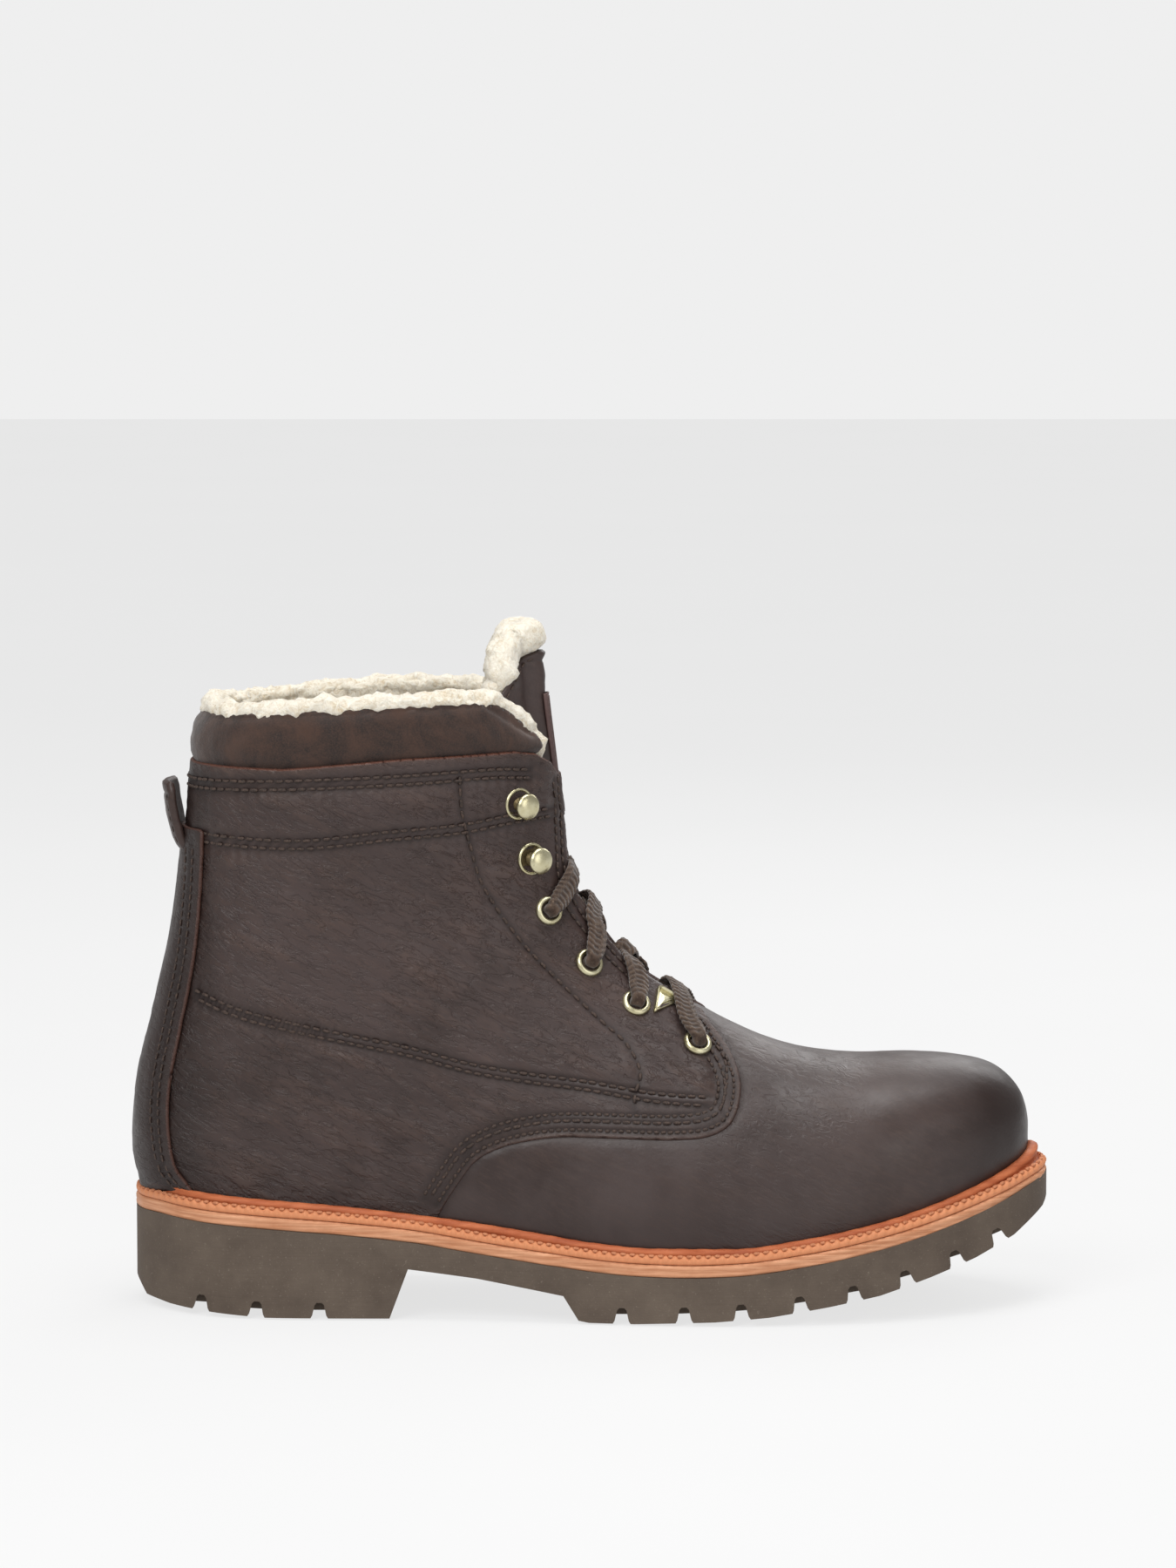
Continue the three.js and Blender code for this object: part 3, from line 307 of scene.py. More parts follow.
def plain_fibre(name, a, b, rough=0.9, scale=300):
    m = Mat(name)
    n = m.noise(scale, 5, 0.65)
    return m.done(m.mix(m.ramp(n, [(0.35, 0.0), (0.7, 1.0)]), a, b), rough, m.bump(n, 0.4, 0.0005))


def steel_mat(name):
    m = Mat(name)
    n = m.noise(1.0, 4, 0.6, vec=m.coords((40, 1500, 1500)))
    return m.done(m.mix(m.ramp(n, [(0.3, 0.0), (0.7, 1.0)]), (0.42, 0.43, 0.44), (0.62, 0.63, 0.64)), m.ramp(n, [(0.3, 0.28), (0.7, 0.45)]), m.bump(n, 0.15, 0.0002), Metallic=1.0)


LEA = dict(base=(0.027, 0.0150, 0.0125), light=(0.050, 0.032, 0.029), warm=(0.078, 0.045, 0.034))
MAT = {
    "upper": leather("upper_leather", **LEA),
    "vamp": leather("vamp_leather", (0.029, 0.0165, 0.0140), (0.053, 0.036, 0.033), (0.066, 0.040, 0.031), grain=0.75, wrinkle=0.5, rough=(0.36, 0.54)),
    "label": leather("label_leather", (0.060, 0.030, 0.027), (0.11, 0.066, 0.060), (0.13, 0.075, 0.06), wrinkle=0.3),
    "suede": suede("collar_suede", (0.017, 0.0090, 0.0065), (0.056, 0.030, 0.021)),
    "fleece": fleece_mat("fleece"),
    "rubber": rubber_mat("outsole_rubber"),
    "welt": edge_leather("welt_leather", (0.33, 0.070, 0.020), (0.52, 0.150, 0.055), 500),
    "midsole": edge_leather("sole_leather", (0.46, 0.185, 0.085), (0.68, 0.345, 0.195)),
    "brass": brass_mat("antique_brass"),
    "brass_painted_shade": brass_painted_shade_mat("antique_brass_painted_shade"),
    "lace": lace_mat("lace_cord"),
    "thread": plain_fibre("thread_brown", (0.016, 0.009, 0.006), (0.085, 0.050, 0.036), 0.7, 1500),
    "thread_welt": plain_fibre("thread_welt", (0.40, 0.125, 0.050), (0.60, 0.25, 0.12), 0.7, 1500),
    "cork": plain_fibre("cork", (0.30, 0.18, 0.09), (0.55, 0.38, 0.22), 0.95, 500),
    "board": plain_fibre("insole_board", (0.34, 0.26, 0.17), (0.5, 0.40, 0.28), 0.9, 700),
    "stiff": plain_fibre("stiffener", (0.30, 0.27, 0.24), (0.45, 0.41, 0.36), 0.9, 900),
    "steel": steel_mat("shank_steel"),
}

# ------------------------------------------------------------------ the upper's surface
# feather line (top of welt): X, Ylat, Ymed, Z
FE = np.array([
[-149.6, 0.0, 0.0, 42.2],[-147.5,-9.0,8.6,41.8],[-141.0,-18.5,17.6,41.2],[-132.0,-27.0,25.6,40.4],[-118.0,-33.8,32.2,39.4],[-100.0,-36.8,35.2,38.2],
[-83.9,-37.4,35.6,36.9],[-59.9,-37.6,34.6,34.2],[-42.0,-38.6,32.6,32.0],[-17.9,-42.0,31.6,28.6],[0.0,-45.2,33.6,26.0],[20.3,-48.0,38.2,24.5],
[46.6,-49.4,45.0,24.6],[68.9,-47.8,47.8,27.4],[90.9,-43.2,46.6,31.4],[108.0,-37.0,42.2,35.8],[121.0,-30.0,36.2,40.0],[131.5,-22.2,28.4,44.0],[139.5,-13.6,18.6,47.8],[144.2,-6.0,8.6,51.0],[145.5,0.0,0.0,52.6]])
# top of rubber at the sole edge: X, Z
RU = np.array([[-155,31.2],[-143.8,31.4],[-132,30.8],[-107.9,29.4],[-83.9,27.7],[-59.9,25.2],[-35.9,21.4],[-11.9,18.2],[12.2,15.8],[30,15.3],[46.6,15.9],[68.9,18.7],[90.9,22.8],[113.2,28.6],[129.7,34.0],[140.9,38.4],[152.5,43.6]])
def pchip(xk, yk, x):
    xk=np.asarray(xk,float); yk=np.asarray(yk,float); x=np.asarray(x,float)
    h=np.diff(xk); d=np.diff(yk)/h
    m=np.zeros_like(yk)
    for k in range(1,len(xk)-1):
        if d[k-1]*d[k]>0:
            w1=2*h[k]+h[k-1]; w2=h[k]+2*h[k-1]
            m[k]=(w1+w2)/(w1/d[k-1]+w2/d[k])
    m[0]=d[0]; m[-1]=d[-1]
    i=np.clip(np.searchsorted(xk,x,side='right')-1,0,len(xk)-2)
    t=np.clip((x-xk[i])/h[i],0,1); t2=t*t; t3=t2*t
    return (2*t3-3*t2+1)*yk[i]+(t3-2*t2+t)*h[i]*m[i]+(-2*t3+3*t2)*yk[i+1]+(t3-t2)*h[i]*m[i+1]
# feather outline as a closed smooth curve is x-keyed; near the ends use sqrt-like behaviour from the table
def fe(x,col):
    return pchip(FE[:,0],FE[:,col],x)
# stations: Xf,Zf, Xb, Zb(or nan=feather), wL,wM, m, nT, nB
NAN=float('nan')
ST = np.array([
[145.5, 52.4, 145.5, NAN,  0.01, 0.01, .60, 2.2, 2.2],
[144.8, 62.5, 143.2, NAN,  9.6, 12.8, .62, 2.2, 2.2],
[141.6, 71.0, 138.6, NAN, 17.6, 22.6, .66, 2.25,2.2],
[133.6, 77.8, 130.4, NAN, 25.8, 31.8, .68, 2.3, 2.2],
[121.5, 80.6, 118.6, NAN, 34.0, 39.8, .69, 2.3, 2.2],
[105.5, 81.5, 102.8, NAN, 41.4, 45.8, .70, 2.3, 2.2],
[ 86.5, 81.3,  83.0, NAN, 46.9, 49.4, .72, 2.25,2.2],
[ 66.5, 84.2,  60.0, NAN, 49.6, 49.2, .76, 2.15,2.2],
[ 46.3, 92.2,  34.0, NAN, 49.8, 44.6, .80, 2.0, 2.2],
[ 27.6,104.4,   4.0, NAN, 46.8, 38.0, .82, 1.9, 2.2],
[ 12.9,115.9, -30.0, NAN, 41.8, 36.0, .80, 1.85,2.3],
[  3.0,128.6, -68.0, NAN, 38.8, 36.4, .72, 1.85,2.5],
[ -4.3,140.6,-105.0, NAN, 37.6, 36.4, .64, 1.9, 2.7],
[ -7.2,150.0,-134.0, NAN, 37.0, 36.0, .60, 1.95,2.8],
[ -8.8,159.0,-149.8, 43.0,36.4, 35.6, .57, 2.0, 2.8],
[-10.0,168.0,-150.6, 70.0,36.0, 35.4, .55, 2.05,2.7],
[-11.0,177.0,-144.6, 97.0,36.0, 35.4, .54, 2.1, 2.5],
[-12.0,185.5,-138.6,124.0,36.6, 36.0, .53, 2.15,2.4],
[-13.0,193.5,-135.2,150.0,37.4, 36.8, .52, 2.2, 2.35],
[-13.8,200.5,-133.8,175.0,38.0, 37.4, .52, 2.2, 2.35],
[-14.4,206.0,-131.2,194.5,38.4, 37.8, .52, 2.2, 2.35],
[-14.8,211.0,-129.6,208.0,38.4, 37.8, .52, 2.2, 2.35],
])
NS=len(ST)
DROP=3.0
_t=ST.copy()
for k in range(NS):
    if np.isnan(_t[k,3]): _t[k,3]=fe(_t[k,2],3)-DROP
EXT=np.vstack([2*_t[0]-_t[1],_t,2*_t[-1]-_t[-2]])
def station(u):
    """u in [0,NS-1]; Catmull-Rom on the station index"""
    u=np.asarray(u,float)
    ext=EXT
    i=np.clip(np.floor(u).astype(int),0,NS-2); t=(u-i)[...,None]
    p0=ext[i];p1=ext[i+1];p2=ext[i+2];p3=ext[i+3]
    m1=(p2-p0)/2; m2=(p3-p1)/2
    t2=t*t;t3=t2*t
    return (2*t3-3*t2+1)*p1+(t3-2*t2+t)*m1+(-2*t3+3*t2)*p2+(t3-t2)*m2
UH=14.0
def section(u,side,nth=33):
    """points (nth,3) of one side; side -1 lateral (Y<0), +1 medial"""
    s=station(u)
    Xf,Zf,Xb,Zb,wL,wM,m,nT,nB=s
    w=max(wL if side<0 else wM,0.01)
    if u<UH:
        xb=min(max(Xb,FE[0,0]),FE[-1,0])
        ye=abs(fe(xb,1 if side<0 else 2))
        Xb=xb; Zb=fe(xb,3)-DROP
    else: ye=0.0
    w=max(w,ye*1.005+0.01)
    e=min(ye/w,0.999)
    # upper branch
    a=np.linspace(0,np.pi/2,49)
    sT=m*(1-np.cos(a)**(2/nT)); yT=w*np.sin(a)**(2/nT)
    pe=np.arccos(min(e**(nB/2),1.0)) # y/w = cos^(2/n)
    b=np.linspace(0,pe,49)[1:]
    q=np.sin(b)**(2/nB)/max(np.sin(pe)**(2/nB),1e-9)
    sB=m+(1-m)*q; yB=w*np.cos(b)**(2/nB)
    sB=np.clip(sB,0,1)
    S=np.concatenate([sT,sB]); Y=np.concatenate([yT,yB]); Y[-1]=ye
    X=Xf+(Xb-Xf)*S; Z=Zf+(Zb-Zf)*S
    d=np.r_[0,np.cumsum(np.sqrt(np.diff(X)**2+np.diff(Y)**2+np.diff(Z)**2))]
    t=np.linspace(0,d[-1],nth)
    return np.stack([np.interp(t,d,X),side*np.interp(t,d,Y),np.interp(t,d,Z)],1)
def grid(us,nth=33):
    G=[]
    for u in us:
        L=section(u,-1,nth); M=section(u,1,nth)
        G.append(np.vstack([L[::-1],M[1:]]))   # th from -1 (lateral end) to +1
    return np.array(G)
def normals(G,closed_from=None):
    du=np.gradient(G,axis=0); dt=np.gradient(G,axis=1)
    n=np.cross(dt,du)
    l=np.linalg.norm(n,axis=2,keepdims=True); n=n/np.maximum(l,1e-9)
    return n

U_STEP = 0.07
NTH = 230
US = np.arange(0.02, 21.0001, U_STEP)
G = grid(US, NTH)
NR, NC = G.shape[:2]
MID = NTH - 1                                   # column on the front centre line
NN = normals(G)
seam = US >= UH
avg = NN[:, 0] + NN[:, -1]
avg /= np.maximum(np.linalg.norm(avg, axis=1, keepdims=True), 1e-9)
NN[seam, 0] = avg[seam]; NN[seam, -1] = avg[seam]
UU = np.repeat(US[:, None], NC, 1)
COLS = np.repeat(np.arange(NC)[None, :], NR, 0)
SIDE = np.where(COLS < MID, -1.0, 1.0)
GX, GY, GZ = G[..., 0], G[..., 1], G[..., 2]


def sm(t):
    t = np.clip(t, 0, 1)
    return t * t * (3 - 2 * t)


def half_gap(u):
    u = np.asarray(u, float)
    return np.where(u < 9.5, 6.5 + (u - 8) / 1.5 * 2, np.where(u < 12, 8.5, np.where(u < 14, 8.5 - (u - 12) * 2.0, 4.5)))


def poly_sdf(x, z, P):
    """signed distance to a closed polygon, negative inside"""
    P = np.asarray(P, float)
    d = np.full(x.shape, 1e18); inside = np.zeros(x.shape, bool)
    for a, b in zip(P, np.roll(P, -1, 0)):
        e = b - a; wx = x - a[0]; wz = z - a[1]
        t = np.clip((wx * e[0] + wz * e[1]) / (e @ e), 0, 1)
        d = np.minimum(d, (wx - e[0] * t) ** 2 + (wz - e[1] * t) ** 2)
        c = (a[1] > z) != (b[1] > z)
        with np.errstate(divide="ignore", invalid="ignore"):
            xi = a[0] + (z - a[1]) * e[0] / (e[1] if e[1] else 1e-12)
        inside ^= c & (x < xi)
    d = np.sqrt(d)
    return np.where(inside, -d, d)


def line_dist(pts, P3=None):
    """distance of every grid point to a 3-D polyline"""
    P3 = G if P3 is None else P3
    pts = np.asarray(pts, float)
    d = np.full(P3.shape[:-1], 1e18)
    for a, b in zip(pts[:-1], pts[1:]):
        e = b - a; w = P3 - a
        t = np.clip((w @ e) / max(e @ e, 1e-9), 0, 1)[..., None]
        d = np.minimum(d, ((w - e * t) ** 2).sum(-1))
    return np.sqrt(d)


def resample(pts, step, smooth=True):
    """even points along a centripetal Catmull-Rom curve"""
    P = np.asarray(pts, float)
    if smooth and len(P) > 2:
        out = []
        ext = np.vstack([2 * P[0] - P[1], P, 2 * P[-1] - P[-2]])
        for k in range(1, len(ext) - 2):
            p0, p1, p2, p3 = ext[k - 1:k + 3]
            d = [max(np.linalg.norm(q), 1e-6) ** 0.5 for q in (p1 - p0, p2 - p1, p3 - p2)]
            t1 = 0.0; t0 = -d[0]; t2 = d[1]; t3 = d[1] + d[2]
            for t in np.linspace(0, d[1], 14, endpoint=False):
                A1 = (t1 - t) / (t1 - t0) * p0 + (t - t0) / (t1 - t0) * p1
                A2 = (t2 - t) / (t2 - t1) * p1 + (t - t1) / (t2 - t1) * p2
                A3 = (t3 - t) / (t3 - t2) * p2 + (t - t2) / (t3 - t2) * p3
                B1 = (t2 - t) / (t2 - t0) * A1 + (t - t0) / (t2 - t0) * A2
                B2 = (t3 - t) / (t3 - t1) * A2 + (t - t1) / (t3 - t1) * A3
                out.append((t2 - t) / (t2 - t1) * B1 + (t - t1) / (t2 - t1) * B2)
        P = np.array(out + [P[-1]])
    s = np.r_[0, np.cumsum(np.linalg.norm(np.diff(P, axis=0), axis=1))]
    n = max(2, int(round(s[-1] / step)) + 1)
    t = np.linspace(0, s[-1], n)
    return np.stack([np.interp(t, s, P[:, k]) for k in range(P.shape[1])], 1)


def fbm(P, scale, oct_=3, seed=0.0):
    """smooth noise at each point, about -1..1"""
    flat = P.reshape(-1, 3) * scale
    out = np.empty(len(flat))
    o = Vector((seed, seed * 1.7, -seed))
    for k, p in enumerate(flat):
        out[k] = noise.fractal(Vector(p) + o, 1.0, 2.0, oct_)
    return out.reshape(P.shape[:-1])


class Hash:
    """nearest surface point, with its normal"""
    def __init__(self):
        self.idx = [(i, j) for i in range(0, NR, 2) for j in range(0, NC, 2) if US[i] > 0.05]
        self.kd = KDTree(len(self.idx))
        self.kx = {-1: KDTree(len(self.idx)), 1: KDTree(len(self.idx))}
        for k, (i, j) in enumerate(self.idx):
            self.kd.insert(Vector(G[i, j]), k)
            s = -1 if j < MID else 1
            if abs(NN[i, j, 1]) > 0.12:
                self.kx[s].insert(Vector((G[i, j, 0], 0, G[i, j, 2])), k)
        self.kd.balance(); self.kx[-1].balance(); self.kx[1].balance()

    def near(self, p):
        _, k, _ = self.kd.find(Vector(p))
        i, j = self.idx[k]
        return G[i, j], NN[i, j], (i, j)

    def drop(self, p, h=0.0):
        P0, n, _ = self.near(p)
        q = np.asarray(p, float)
        q = q - n * ((q - P0) @ n)
        return q + n * h, n

    def lift(self, x, z, side, h=0.0):
        _, k, _ = self.kx[side].find(Vector((x, 0, z)))
        i, j = self.idx[k]
        P0, n = G[i, j], NN[i, j]
        y = P0[1] - (n[0] * (x - P0[0]) + n[2] * (z - P0[2])) / n[1]
        return self.drop((x, y, z), h)


SURF = Hash()


def on_surface(pts, h=0.0, step=None):
    if step:
        pts = resample(pts, step)
    r = [SURF.drop(p, h) for p in pts]
    return np.array([a for a, _ in r]), np.array([b for _, b in r])


def lift_line(xz, side, step=1.0):
    q = resample(np.asarray(xz, float), step)
    return np.array([SURF.lift(a, b, side)[0] for a, b in q])


def mirror(pts):
    """the same line on the other side: lifted from its X and Z"""
    return np.array([SURF.lift(p[0], p[2], 1)[0] if abs(p[1]) > 6 else np.array([p[0], -p[1], p[2]]) for p in pts])


# ------------------------------------------------------------------ making objects
def new_object(name, verts, faces, mat, body=ROOT, attrs=None, smooth=True, replaces=()):
    me = bpy.data.meshes.new(name)
    me.from_pydata((np.asarray(verts) * MM).tolist(), [], faces)
    me.validate()
    if smooth:
        me.polygons.foreach_set("use_smooth", [True] * len(me.polygons))
    for k, v in (attrs or {}).items():
        a = me.attributes.new(k, "FLOAT", "POINT")
        a.data.foreach_set("value", np.asarray(v, np.float32))
    o = bpy.data.objects.new(name, me)
    scene.collection.objects.link(o)
    mats = mat if isinstance(mat, (list, tuple)) else [mat]
    for m in mats:
        me.materials.append(m)
    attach(o, body)
    if replaces:
        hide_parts(*replaces)
    return o


def clip_patch(f):
    """faces of the grid where f<0, as (row, col) corner lists with cut corners interpolated"""
    f = np.where(np.abs(f) < 0.10, -1e-6, f)
    idx = -np.ones((NR, NC), int)
    inside = f < 0
    cnt = inside[:-1, :-1].astype(int) + inside[1:, :-1] + inside[:-1, 1:] + inside[1:, 1:]
    verts = []; vid = {}

    def vert(i, j):
        k = idx[i, j]
        if k < 0:
            k = idx[i, j] = len(verts)
            verts.append((float(i), float(j)))
        return k

    def cut(a, b):
        key = (a, b) if a < b else (b, a)
        if key not in vid:
            fa, fb = f[key[0]], f[key[1]]
            t = fa / (fa - fb)
            vid[key] = len(verts)
            verts.append((key[0][0] + (key[1][0] - key[0][0]) * t, key[0][1] + (key[1][1] - key[0][1]) * t))
        return vid[key]

    faces = []
    for i, j in np.argwhere(cnt > 0):
        q = [(i, j), (i, j + 1), (i + 1, j + 1), (i + 1, j)]
        if cnt[i, j] == 4:
            faces.append([vert(*p) for p in q]); continue
        loop = []
        for a, b in zip(q, q[1:] + q[:1]):
            ia, ib = inside[a], inside[b]
            if ia:
                loop.append(vert(*a))
            if ia != ib:
                loop.append(cut(a, b))
        loop = [v for k, v in enumerate(loop) if v != loop[k - 1]]
        if len(loop) >= 3:
            faces.append(loop)
    return np.array(verts), faces


def bil(F, ij):
    i = np.clip(ij[:, 0], 0, NR - 1.0001); j = np.clip(ij[:, 1], 0, NC - 1.0001)
    a = i.astype(int); b = j.astype(int); s = i - a; t = j - b
    if F.ndim == 3:
        s = s[:, None]; t = t[:, None]
    return (F[a, b] * (1 - s) * (1 - t) + F[a + 1, b] * s * (1 - t) + F[a, b + 1] * (1 - s) * t + F[a + 1, b + 1] * s * t)


def shell(name, f, out, inn, mat, round_=0.5, body=ROOT, fields=None, replaces=(), weld_back=False, rows=3, raw=0.0):
    """a skin of the surface where f<0, from depth inn to height out, with rounded edges"""
    ij, faces = clip_patch(f)
    P = bil(G, ij); N = bil(NN, ij)
    N /= np.maximum(np.linalg.norm(N, axis=1, keepdims=True), 1e-9)
    if weld_back:
        key = {}; remap = np.arange(len(ij))
        for k, (i, j) in enumerate(ij):
            if (j < 1e-6 or j > NC - 1 - 1e-6) and US[int(i)] >= UH - 1e-9:
                kk = round(i, 4)
                remap[k] = key.setdefault(kk, k)
        faces = [[remap[v] for v in fc] for fc in faces]
    ho = bil(out, ij) if isinstance(out, np.ndarray) else np.full(len(ij), float(out))
    hi = bil(inn, ij) if isinstance(inn, np.ndarray) else np.full(len(ij), float(inn))
    nv = len(ij)
    # boundary edges
    cnt = {}
    for fc in faces:
        for a, b in zip(fc, fc[1:] + fc[:1]):
            cnt[(a, b)] = cnt.get((a, b), 0) + 1
    bd = [e for e in cnt if (e[1], e[0]) not in cnt]
    tan = np.zeros((nv, 3)); isb = np.zeros(nv, bool)
    for a, b in bd:
        e = P[b] - P[a]
        l = np.linalg.norm(e)
        if l < 1e-6:
            continue
        t = np.cross(e / l, (N[a] + N[b]) / 2)
        tan[a] += t * l; tan[b] += t * l
        isb[a] = isb[b] = True
    tl = np.linalg.norm(tan, axis=1, keepdims=True)
    tan = tan / np.maximum(tl, 1e-9)
    # does the winding face outwards?
    fc = faces[len(faces) // 2]
    nn = np.cross(P[fc[1]] - P[fc[0]], P[fc[2]] - P[fc[0]])
    flip = (nn @ N[fc[0]]) < 0
    if flip:
        tan = -tan
    V = [P + N * ho[:, None], P + N * hi[:, None]]
    bv = np.flatnonzero(isb)
    pos = {v: k for k, v in enumerate(bv)}
    th = (ho - hi)[bv]
    r = np.minimum(round_, th * 0.48)
    ring = []
    prof = [(0.35, 0.08), (0.75, 0.42)] if rows <= 3 else [(0.30, 0.06), (0.55, 0.20), (0.80, 0.48), (0.95, 0.80)]
    for e, dn in prof:
        ring.append((e * r, dn * r))
    L = []
    for e, dn in ring:
        L.append(P[bv] + N[bv] * (ho[bv] - dn)[:, None] + tan[bv] * e[:, None])
    L.append(P[bv] + N[bv] * ((ho + hi)[bv] / 2)[:, None] + tan[bv] * r[:, None])
    for e, dn in ring[::-1]:
        L.append(P[bv] + N[bv] * (hi[bv] + dn)[:, None] + tan[bv] * e[:, None])
    base = 2 * nv
    nb = len(bv)
    V = np.vstack(V + L)
    F = [fc[::-1] if flip else fc for fc in faces]
    F += [[v + nv for v in (fc if flip else fc[::-1])] for fc in faces]
    for a, b in bd:
        if not (isb[a] and isb[b]):
            continue
        if flip:
            a, b = b, a
        pa, pb = pos[a], pos[b]
        col_a = [a] + [base + k * nb + pa for k in range(len(L))] + [a + nv]
        col_b = [b] + [base + k * nb + pb for k in range(len(L))] + [b + nv]
        for k in range(len(col_a) - 1):
            F.append([col_b[k], col_a[k], col_a[k + 1], col_b[k + 1]])
    attrs = {}
    for k, fld in (fields or {}).items():
        v = bil(fld, ij)
        attrs[k] = np.concatenate([v, v] + [v[bv]] * len(L))
    e = np.zeros(len(V)); e[nv:] = 1.0; e[nv:2 * nv] = 1.0
    m = len(ring)
    e[base:base + nb * max(1, m - 1)] = 0.55
    ra = bil(raw, ij) if isinstance(raw, np.ndarray) else np.full(nv, float(raw))
    attrs["edge"] = e * np.concatenate([ra, ra] + [ra[bv]] * len(L))
    o = new_object(name, V, F, mat, body, attrs, replaces=replaces)
    bm = bmesh.new(); bm.from_mesh(o.data)
    loose = [v for v in bm.verts if not v.link_faces]
    bmesh.ops.delete(bm, geom=loose, context="VERTS")
    bmesh.ops.recalc_face_normals(bm, faces=bm.faces[:])
    bm.to_mesh(o.data); bm.free()
    return o

# ------------------------------------------------------------------ lines on the outer side, in mm
Q = [(34.1, 99.4), (40.8, 91.9), (45.6, 85.4), (48.2, 78.1), (47.6, 70.9), (44.6, 65.0), (38.5, 61.6), (28.2, 60.3), (8, 60.4), (-10, 60.5), (-20.6, 59.2), (-30, 56.8), (-38.5, 52.3), (-44.8, 44), (-50.6, 34.5), (-56, 22),
     (-175, 22), (-175, 180.4), (-133, 180.4), (-101.6, 179.8), (-62.3, 183.3), (-25.8, 184.6), (-19.2, 183.4), (-14.2, 179.8), (-11.6, 175.2), (-5, 170), (34, 150), (38, 106)]
qlow = resample([(x, z) for x, z in Q[:16]], 1.2)
Qs = [tuple(p) for p in qlow] + Q[16:]
COLLAR = [(-175, 180.8), (-133, 180.8), (-101.6, 180.2), (-62.3, 183.7), (-25.8, 185.0), (-17.4, 183.7), (-17.6, 186.5), (-19.2, 189.8), (-22.0, 193.6), (-25.9, 197.0), (-30.0, 199.4), (-35.4, 200.6),
          (-47, 200.6), (-66, 199.6), (-93, 198.2), (-116, 196.9), (-127, 196.1), (-175, 196.0)]
bandU = [(-133.6, -2.5, 175.4), (-133.0, -7.8, 175.5), (-131, -14.8, 175.6), (-104, -34.8, 176.6), (-60, -36.6, 178.6), (-32.4, -27.9, 179.8), (-20.5, -19.2, 178.9)]
bandL = [(-134.7, -2.5, 157.9), (-134.1, -7.8, 157.9), (-131.2, -16.5, 157.8), (-125.8, -23.2, 157.8), (-94.9, -36.2, 157.2), (-66.4, -36.2, 160.1), (-41.3, -30.3, 162), (-28, -23.9, 164.1), (-13.4, -10.5, 165.4)]
facst = [(-43.6, -32.7, 178), (-42.9, -31.2, 165.8), (-40.1, -29.3, 154.9), (-36.4, -27.3, 142.1), (-25.1, -25.3, 124.6), (-12.7, -25.1, 111), (2.3, -27.1, 96.9), (11.6, -30.5, 88.7), (15.9, -35.4, 79.7), (14.1, -38.3, 73.8), (13.7, -40.9, 67.5)]
fvert = [(39, -21, 89.7), (43.4, -24.7, 84.7), (44.2, -35.1, 76.5), (42.4, -40.2, 69.5)]
midl = [(-130.9, -26.3, 106.6), (-115.4, -34.1, 100.9), (-93.2, -36.2, 95.6), (-75.9, -36.6, 92.1), (-58.9, -36.6, 88.5), (-41.1, -36.3, 83.6), (-23.4, -36, 80.4), (-0.7, -36.2, 77.4), (20.4, -38.2, 74), (38.6, -37.9, 72.6)]


def shift_z(line, dz):
    return [(p[0], p[1], p[2] + dz) for p in line]


def lines_for(side):
    L = {}
    for k, v in dict(bandU=bandU, bandU2=shift_z(bandU, -2.8), bandL=bandL, bandL2=shift_z(bandL, -2.7), facst=facst, fvert=fvert, mid=midl, mid2=shift_z(midl, -2.6)).items():
        q = resample(v, 1.2)
        q = np.array([SURF.lift(p[0], p[2], side)[0] if abs(p[1]) > 8 else SURF.drop((p[0], p[1] * -side, p[2]))[0] for p in q])
        L[k] = q
    lo = qlow[18:]
    nrm = np.gradient(qlow, axis=0); nrm = np.stack([nrm[:, 1], -nrm[:, 0]], 1); nrm /= np.linalg.norm(nrm, axis=1, keepdims=True)
    c = np.array([-20.0, 90.0])
    for name, d, a in (("q1", 1.7, 3), ("q2", 4.6, 3), ("q3", 6.8, 4)):
        keep = qlow + nrm * np.sign(((c - qlow) * nrm).sum(1))[:, None] * d
        keep = keep[a:]
        keep = keep[keep[:, 1] > 34.5 + 0.5 * (d - 1.7)]
        pts = []
        for x, z in resample(keep, 1.2):
            pts.append(SURF.lift(x, z, side)[0])
        L[name] = np.array(pts)
    # along the facing's front edge
    us = np.arange(9.6, 20.6, 0.1)
    for name, d in (("e1", 2.4), ("e2", 5.2)):
        pts = []; zmax = 181.5 - 1.2 * d
        for u in us:
            i = int(np.argmin(abs(US - u)))
            row = G[i]
            cols = np.arange(NC)[(COLS[i] < MID) if side < 0 else (COLS[i] >= MID)]
            g = half_gap(u) + d
            k = cols[np.argmin(abs(abs(row[cols, 1]) - g))] if abs(row[cols, 1]).max() > g else None
            # first column from the centre that is as far from the gap's edge
            rng = range(MID, -1, -1) if side < 0 else range(MID, NC)
            for j in rng:
                if abs(row[j, 1]) >= g:
                    if row[j][2] < zmax:
                        pts.append(row[j])
                    break
        L[name] = resample(np.array(pts)[::3], 1.2)
    return L


LINES = {-1: lines_for(-1), 1: lines_for(1)}
THR = np.where((UU > 8.4) & (GX > -70), np.abs(GY) - half_gap(UU), 99.0)          # outside the throat: positive
sQ = poly_sdf(GX, GZ, Qs)
sCol = poly_sdf(GX, GZ, COLLAR)

# ------------------------------------------------------------------ relief
grain_dir = np.stack([GX * math.cos(0.42) - GZ * math.sin(0.42), GY, GX * math.sin(0.42) + GZ * math.cos(0.42)], -1)
roll = fbm(grain_dir * np.array([0.6, 0.8, 2.2]), 0.045, 3, 3.0)
fine = fbm(grain_dir * np.array([0.55, 0.8, 2.6]), 0.14, 3, 11.0)
soft = fbm(G, 0.02, 2, 5.0)
FACD = np.minimum(line_dist(LINES[-1]["facst"]), line_dist(LINES[1]["facst"]))


